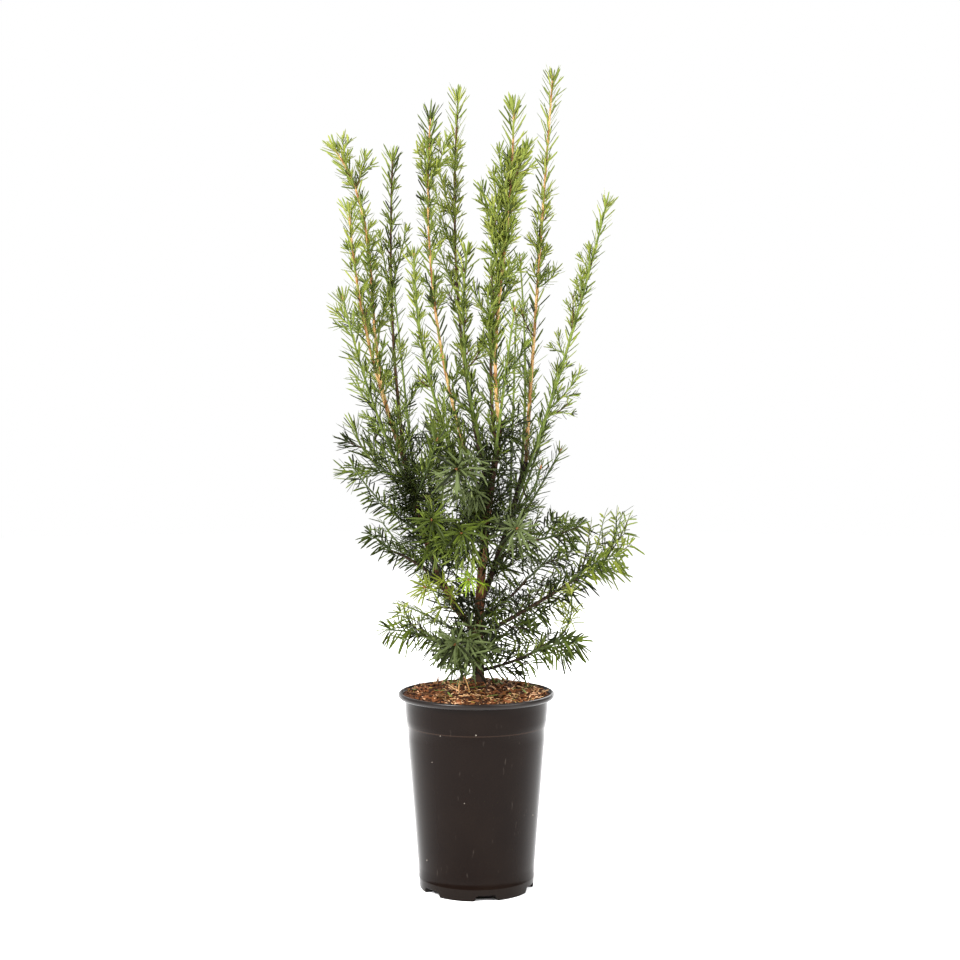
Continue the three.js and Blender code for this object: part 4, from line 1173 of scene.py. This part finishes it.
vigour = np.array([grows.vigour for grows in growth])[mass] ** 0.6
least = np.where(point[:, 0] > 0, LEAST_VIGOUR["right"], LEAST_VIGOUR["left"])
vigour = np.where(flat, np.maximum(vigour, least), vigour)
size = blade * BLADE_SHARE[kind, level] * vigour * (1 + spread(4.9, SIZE_SPREAD))
size = size * np.where(in_crown, CROWN_SIZE, 1)
width = width * WIDTH_SHARE[level] * vigour**0.8 * (1 + spread(5.3, WIDTH_SPREAD))
curl = (spread(6.1, CURL_SPREAD) + CURL)[:, None]
bend = upper * curl + across * spread(7.7, SIDEWAYS[kind])[:, None]
bend = bend + along * FORWARD[kind][:, None]
bend[:, 2] -= DROOP[kind]
root = point + out * STAND_OFF[level][:, None]
kept = in_space(root + direction * size[:, None], mass)
print("needles kept:", kept.sum(), "longest:", round(size.max()), "mm, shortest:", round(size.min()), "mm")

# %% [markdown]
# ### Needle colours, spray by spray
# The young tips of the year are yellow-green, the older needles mid and dark green, and a few sprays
# in the shade of the front are bluish. Each spray takes one tint, by its height on the plant and a
# little chance, and single needles are a step or two lighter or darker. The darker tints low on the
# plant are partly older needles and partly painted shade of the dense crown, and the shade tint is
# painted shade alone.

# %% Deal out the tints
Tint = namedtuple("Tint", "upper lower slot")
TINTS = {
    "young": Tint(0x5A6C17, 0x6E8036, "needles_bright"),
    "fresh": Tint(0x51591A, 0x6A7030, "needles_light"),
    "leafy": Tint(0x434D15, 0x60682D, "needles_light"),
    "mid": Tint(0x394313, 0x576229, "needles_mid"),
    "deep": Tint(0x313A13, 0x535C2A, "needles_mid"),
    "dark": Tint(0x202708, 0x404A21, "needles_dark"),
    "blue": Tint(0x3F4729, 0x676F46, "needles_blue"),
    "shade": Tint(0x111505, 0x262D11, "needles_dark"),
}
YOUNG, FRESH, LEAFY, MID, DEEP, DARK, BLUE, SHADE = range(len(TINTS))
# Partly painted shade: the tint darkens down the plant, deepest in the dense crown under the first height.
HEIGHTS, TINT_AT_HEIGHT = (460, 560, 640, 760), (4.8, 2.8, 2.2, 1.5)
LOT_SPREAD = 2.2
RIPE = {"lighter": 0.14, "darker": 0.66, "shaded": 0.8, "blue_shaded": 0.84}

given = stem_given[owner]
lot = chance(stem_seed * 1.7 + 0.3)[owner]
climb = np.interp(point[:, 2], HEIGHTS, TINT_AT_HEIGHT)
climb = np.clip(np.round(climb + LOT_SPREAD * (lot - 0.5)), FRESH, DARK).astype(int)
light = np.clip(climb - np.where(flat, 2, 1), FRESH, DEEP)
# A spray given the dark tint takes shade, dark or deep by lot: painted shade of the inside of the crown.
dark = np.choose((lot * 3).astype(int), [SHADE, DARK, DEEP])
rules = {"light": light, "mid": climb, "dark": dark}
tint_of = np.select([given == GIVEN[name] for name in rules], list(rules.values()), given)
tint_of = np.where((given == GIVEN["shade"]) & (lot > 0.5) & flat, DARK, tint_of)

ripe = chance(seed + 8.3)
darker = (ripe > RIPE["darker"]) & (tint_of > YOUNG) & (given != GIVEN["bright"])
darker_blue = np.where(ripe > RIPE["blue_shaded"], SHADE, DARK)
older = np.where(tint_of == BLUE, darker_blue, np.minimum(tint_of + 2, DARK))
tint_of = np.where(darker, older, tint_of)
tint_of = np.where((ripe > RIPE["shaded"]) & (tint_of == DARK), SHADE, tint_of)
lighter = (ripe < RIPE["lighter"]) & (tint_of > FRESH) & (tint_of < BLUE)
tint_of = np.where(lighter, tint_of - 1, tint_of)
print("needles of each tint:", dict(zip(TINTS, np.bincount(tint_of[kept]).tolist())))

# %% [markdown]
# Both faces of a needle are plain waxy leaf with a low gloss: a stronger one would show the white
# surround as a grey veil over the crown. The upper face is the smoother one. Each tint is one piece.

# %% Make the needles
def needle_finish(name, colour, wax):
    """A leaf face, smoother the more wax it has, from 0 to 1."""
    return new_finish(
        name, Base_Color=linear(colour), Roughness=0.6 - 0.2 * wax, IOR=1.42, Specular_IOR_Level=0.07
    )[0]


for number, (tint_name, tint) in enumerate(TINTS.items()):
    mine = kept & (tint_of == number)
    nodes = sorted({names[m] for m in mass[mine]})
    blades = [values[mine] for values in (root, direction, across, upper, size, width, bend)]
    points, faces, kinds = needles(*blades)
    finishes = [
        needle_finish(tint_name + " waxy upper face", tint.upper, 1.0),
        needle_finish(tint_name + " matt lower face", tint.lower, 0.0),
    ]
    new_piece("needles_" + tint_name, points, faces, finishes, nodes, kinds, smooth=False)

# %% [markdown]
# ### Twig wood
# The leading stems are orange-tan on the sunny middle of the plant, and every stem darkens towards
# the foot of the crown, partly as older wood and partly as painted shade. The side twigs of the last
# two years are still green.

# %% Twig bark
TwigWood = namedtuple("TwigWood", "pale dark old slot")
# The third tone of each wood is the dark one at the foot of the crown: partly older wood, partly painted
# shade.
TWIG_WOODS = {
    "tan": TwigWood(0xA28355, 0x6A4626, 0x33261A, "bark"),
    "brown": TwigWood(0x4A3522, 0x261A10, 0x1E150D, "bark"),
    "green": TwigWood(0x58652A, 0x3A451C, 0x28301A, "needles_light"),
}
# Heights where the wood starts to darken and where the darkening is full: partly age, partly painted shade.
DARKENING_FROM, DARKEST_BELOW = 510, 455


def twig_bark(name, wood):
    """Flecks 4 mm wide and long along the shoot, that darken towards the foot: partly age, partly painted
    shade.
    """
    material, tree, shader = new_finish(name, Roughness=0.7, Specular_IOR_Level=0.1)
    place = add_node(tree, "ShaderNodeTexCoord").outputs["Object"]
    _, colour = graded(tree, place, 4, 0.25, 3.0, [(0.4, wood.dark), (0.6, wood.pale)])
    height = add_node(tree, "ShaderNodeSeparateXYZ", {"Vector": place}).outputs["Z"]
    # Below the first height the wood darkens towards its third tone: partly age, partly painted shade.
    colour = lay_over(tree, colour, [(height, DARKENING_FROM * MM, DARKEST_BELOW * MM, 0.85, wood.old)])
    tree.links.new(colour, shader.inputs["Base Color"])
    return material


# %% [markdown]
# All stems of one wood and one level are one call of the tube function: the finer the twig, the
# fewer rings and sides it has.

# %% Make the twigs
TWIG_RADII = np.array([[2.1, 1.0], [1.0, 0.6], [0.7, 0.5]])
THINNER = np.array([1, 0.85, 0.72, 0.65])
TWIG_STEPS = ((36, 8), (7, 6), (4, 5))
TAN, BROWN, GREEN = range(len(TWIG_WOODS))
GREEN_SHOOTS = ["shoot_front_left", "shoot_right_outer", "shoot_centre_front", "shoot_middle_short"]
BROWN_SHOOTS = ["shoot_left_inner", "shoot_middle_back", "shoot_centre_back"]
FOOT_OF_CROWN = 480
BROWN_SHARE = {"foot": 0.25, "top": 0.2}


def shoot_wood(name):
    """Green on every shoot that isn't tall and on the green ones, else brown or tan."""
    if name in GREEN_SHOOTS or SHOOTS[name].habit is not TALL:
        return GREEN
    return BROWN if name in BROWN_SHOOTS else TAN


browns = np.where(stem_curves[:, 3, 2] < FOOT_OF_CROWN, BROWN_SHARE["foot"], BROWN_SHARE["top"])
twig_wood = np.where(chance(stem_seed + 0.77) > 1 - browns, BROWN, GREEN)
leader_wood = np.array([shoot_wood(name) for name in names])[stem_mass]
stem_wood = np.where(stem_level == 0, leader_wood, twig_wood)
for number, (name, wood) in enumerate(TWIG_WOODS.items()):
    parts = []
    for level_of, (steps, sides) in enumerate(TWIG_STEPS):
        mine = (stem_wood == number) & (stem_level == level_of)
        if mine.any():
            radii = TWIG_RADII[level_of] * THINNER[stem_habit[mine]][:, None]
            parts.append(tubes(stem_curves[mine], radii, steps, sides))
    points, faces = join(parts)
    nodes = sorted({names[m] for m in stem_mass[stem_wood == number]})
    new_piece("twigs_" + name, points, faces, [twig_bark(name + " twig bark", wood)], nodes)

# %% [markdown]
# Each leading stem ends in a winter bud, a small brown cone among the last needles.

# %% Buds
BUD = {"length": 3.6, "radii": (1.2, 0.5)}
led = (stem_level == 0) & (stem_habit != HABITS.index(FEATHER))
tip, along, _, _ = frame_at(stem_curves[led], np.ones(led.sum()))
bud_curves = curve_of(tip - along, tip + along * BUD["length"], 0 * tip)
points, faces = tubes(bud_curves, np.repeat([BUD["radii"]], led.sum(), 0), 4, 8)
bud_scales = new_finish("bud scales", Base_Color=linear(0x774821), Roughness=0.6)[0]
new_piece("buds", points, faces, [bud_scales])

# %% [markdown]
# ## Compost
# The compost is shredded bark and peat, heaped a little under the trunk.

# %% Compost surface
SOIL = {"edge": 209.4, "crown": 222.2, "radius": 81.2, "rings": 80, "sides": 240}
LUMPS = {"coarse": (9.0, 1.7), "fine": (3.2, 0.9)}
LIP_FADE, TRUNK_FADE = 12, 16
SKIRT = {"heights": (9.0, 12.0, 100.0, 200.0, 208.2), "inset": 2.2, "ledge": 205}


def soil_height(x, y):
    """Height of the compost: from the edge height at the lip to the crown, as a quarter sine of the
    share of the way in, plus lumps of 9 and 3 mm that fade out at the lip and at the trunk's foot."""
    share = np.clip(1 - np.hypot(x, y) / SOIL["radius"], 0, 1)
    place = np.stack([x, y, 0 * x], -1)
    (coarse, high), (fine, low) = LUMPS.values()
    lumps = high * noise(place, coarse, 3.0) + low * noise(place, fine, 4.0)
    from_trunk = np.hypot(x - TRUNK_FOOT[0], y - TRUNK_FOOT[1])
    lumps = lumps * np.clip(share * LIP_FADE, 0.2, 1) * np.clip(from_trunk / TRUNK_FADE, 0.15, 1)
    return SOIL["edge"] + (SOIL["crown"] - SOIL["edge"]) * np.sin(share * np.pi / 2) + lumps


def soil_bed():
    """A closed bed: up the pot's taper from just over its floor, out over the ledge under the lip,
    and then rings of the height field to the middle."""
    angle = np.linspace(0, 2 * np.pi, SOIL["sides"], endpoint=False)
    radius = np.linspace(SOIL["radius"], 0.8, SOIL["rings"])[:, None]
    x, y = radius * np.cos(angle), radius * np.sin(angle)
    top = np.stack([x, y, soil_height(x, y)], -1)
    heights = np.array(SKIRT["heights"])[:, None] + 0 * angle
    radius = wall_radius(np.minimum(heights, SKIRT["ledge"])) - SKIRT["inset"]
    skirt = np.stack([radius * np.cos(angle), radius * np.sin(angle), heights], -1)
    return closed_tube(np.concatenate([skirt, top]), SKIRT["heights"][0], SOIL["crown"])


def compost_fines():
    """Matt grains of 2.5 mm, from near-black peat to brown bark."""
    material, tree, shader = new_finish("peat and bark fines", Roughness=0.95, Specular_IOR_Level=0.08)
    place = add_node(tree, "ShaderNodeTexCoord").outputs["Object"]
    _, colour = graded(tree, place, 2.5, 1.0, 4.0, [(0.38, 0x0C0603), (0.66, 0x4A2C19)])
    tree.links.new(colour, shader.inputs["Base Color"])
    return material


points, faces = soil_bed()
new_piece("compost_bed", points, faces, [compost_fines()], ["soil"])

# %% [markdown]
# ### Bark chips
# Bits of bark lie on the compost at all angles. Each is a small slab with six uneven corners, tilted
# and half sunk, and each colour of bark is one joined mesh. The pale bits lie in drifts, where noise
# is high, and dry leaves have gathered in a patch to the right of the trunk.

# %% Chip shape
Litter = namedtuple("Litter", "count smallest largest slim thickness tilt colour")
LITTER = {
    "dark": Litter(460, 2.5, 10.0, 0.42, 1.2, 0.9, 0x28150A),
    "red": Litter(640, 2.5, 11.0, 0.34, 1.1, 1.0, 0x5E371D),
    "tan": Litter(400, 2.0, 9.0, 0.24, 0.8, 1.2, 0xA88160),
    "fibre": Litter(600, 5.0, 15.0, 0.07, 0.5, 0.9, 0xAE8A61),
    "ochre": Litter(160, 2.0, 7.0, 0.3, 0.7, 0.8, 0x857033),
    "dry_leaf": Litter(60, 4.0, 13.0, 0.3, 0.6, 1.4, 0xC49A78),
}
IN_DRIFTS, DRIFT_SIZE, DRIFT_FROM = ("tan", "fibre", "ochre"), 24.0, -0.05
DRY_LEAF_PATCH = {"count": 34, "place": (24, -4), "size": (34, 66)}
CHIPS_WITHIN = 75
CORNERS = 6


def lying(turn, lift):
    """The direction of a bit that is turned about +Z and lifted at one end, and the level direction
    across it."""
    longways = np.stack([np.cos(turn) * np.cos(lift), np.sin(turn) * np.cos(lift), np.sin(lift)], -1)
    return longways, np.stack([-np.sin(turn), np.cos(turn), 0 * turn], -1)


def scattered(within, first, second):
    """Places spread evenly over a disc: within sqrt(a) (cos 2 pi b, sin 2 pi b), where a and b are the
    chances of two seeds."""
    radius, angle = within * np.sqrt(chance(first)), 2 * np.pi * chance(second)
    return radius * np.cos(angle), radius * np.sin(angle)


def chips(x, y, litter, seed):
    """Slabs of six corners at angles of 60 degrees and radii of 0.6 to 1 of half the length, squeezed
    across by slim, with a top and an underside along the slab's own normal."""
    i = np.arange(len(x)) + seed
    long = litter.smallest + (litter.largest - litter.smallest) * chance(i + 0.2) ** 2
    turn, lift = 2 * np.pi * chance(i + 0.4), litter.tilt * (chance(i + 0.6) - 0.5)
    roll = 1.4 * litter.tilt * (chance(i + 0.8) - 0.5)
    longways, level = lying(turn, lift)
    normal = np.cross(longways, level)
    crossways = level * np.cos(roll)[:, None] + normal * np.sin(roll)[:, None]
    normal = np.cross(longways, crossways)
    corner = np.arange(CORNERS)
    radius = long[:, None] / 2 * (0.6 + 0.4 * chance(i[:, None] * CORNERS + corner))
    slim = litter.slim * (0.8 + 0.9 * chance(i))[:, None]
    middle = np.stack([x, y, soil_height(x, y) + 0.5 + 0.25 * long * np.abs(np.sin(lift))], -1)
    turned = corner * np.pi / 3
    rim = middle[:, None] + longways[:, None] * (radius * np.cos(turned))[..., None]
    rim = rim + crossways[:, None] * (radius * np.sin(turned) * slim)[..., None]
    thick = normal[:, None] * litter.thickness / 2
    points = np.concatenate([rim - thick, rim + thick], 1)
    return copies(points, [grid_quads(2, CORNERS), np.array([corner[::-1], corner + CORNERS])])


# %% [markdown]
# The chips are spread evenly over the compost, but for the drifts and the patch.

# %% Scatter the chips
for number, (name, litter) in enumerate(LITTER.items()):
    i = np.arange(litter.count)
    x, y = scattered(CHIPS_WITHIN, i * 1.3 + number, i * 2.1 + 7 * number + 0.5)
    if name in IN_DRIFTS:
        drift = noise(np.stack([x, y, 0 * x], -1), DRIFT_SIZE, 40.0 + number) > DRIFT_FROM
        x, y = x[drift], y[drift]
    if name == "dry_leaf":
        patch = i < DRY_LEAF_PATCH["count"]
        (x0, y0), (wide, deep) = DRY_LEAF_PATCH["place"], DRY_LEAF_PATCH["size"]
        x = np.where(patch, x0 + wide * (chance(i * 1.9) - 0.5), x)
        y = np.where(patch, y0 + deep * (chance(i * 2.7 + 0.1) - 0.5), y)
    points, faces = chips(x, y, litter, 31 * number)
    finish = new_finish(
        name + " bark chip", Base_Color=linear(litter.colour), Roughness=0.85, Specular_IOR_Level=0.15
    )[0]
    new_piece("chips_" + name, points, faces, [finish], smooth=False)

# %% [markdown]
# Two dry stalks stand in the compost at the front. A stalk is a short tube on a nearly straight
# curve.

# %% Stalks
STALKS = [((-21, -40, 209), (-18, -38, 233)), ((-6, -36, 213), (-13, -38, 236))]
STALK = {"radii": [0.8, 0.6], "steps": 10, "sides": 8}
stalk_curves = np.stack([curve_of(base, tip, (0.6, 0, 0.4)) for base, tip in STALKS])
points, faces = tubes(stalk_curves, np.array([STALK["radii"]] * len(STALKS)), STALK["steps"], STALK["sides"])
straw = new_finish("dry straw", Base_Color=linear(0x9C7442), Roughness=0.7)[0]
new_piece("dry_stalks", points, faces, [straw])

# %% [markdown]
# Fallen needles lie on the compost, most of them brown and some still green. They are the same
# blades as on the plant, laid flat with a little lift and bend.

# %% Fallen needles
FALLEN = {"brown": (90, 0x563A1C), "green": (26, 0x55632E)}
FALLEN_WITHIN, FALLEN_WIDTH, OVER_SOIL = 72, 2.2, 1.6
for number, (name, (count, colour)) in enumerate(FALLEN.items()):
    i = np.arange(count) + 200.0 * (number + 1)
    x, y = scattered(FALLEN_WITHIN, i * 1.3, i * 2.1)
    direction, across = lying(2 * np.pi * chance(i * 3.3), 0.5 * (chance(i * 4.7) - 0.4))
    root = np.stack([x, y, soil_height(x, y) + OVER_SOIL], -1)
    size, width = 13 + 9 * chance(i * 5.1), np.full(count, FALLEN_WIDTH)
    bend = 0.2 * across * (chance(i * 6.3) - 0.5)[:, None]
    points, faces, kinds = needles(root, direction, across, np.cross(direction, across), size, width, bend)
    finish = needle_finish("fallen " + name + " needle", colour, 0.0)
    new_piece("fallen_" + name, points, faces, [finish], smooth=False)
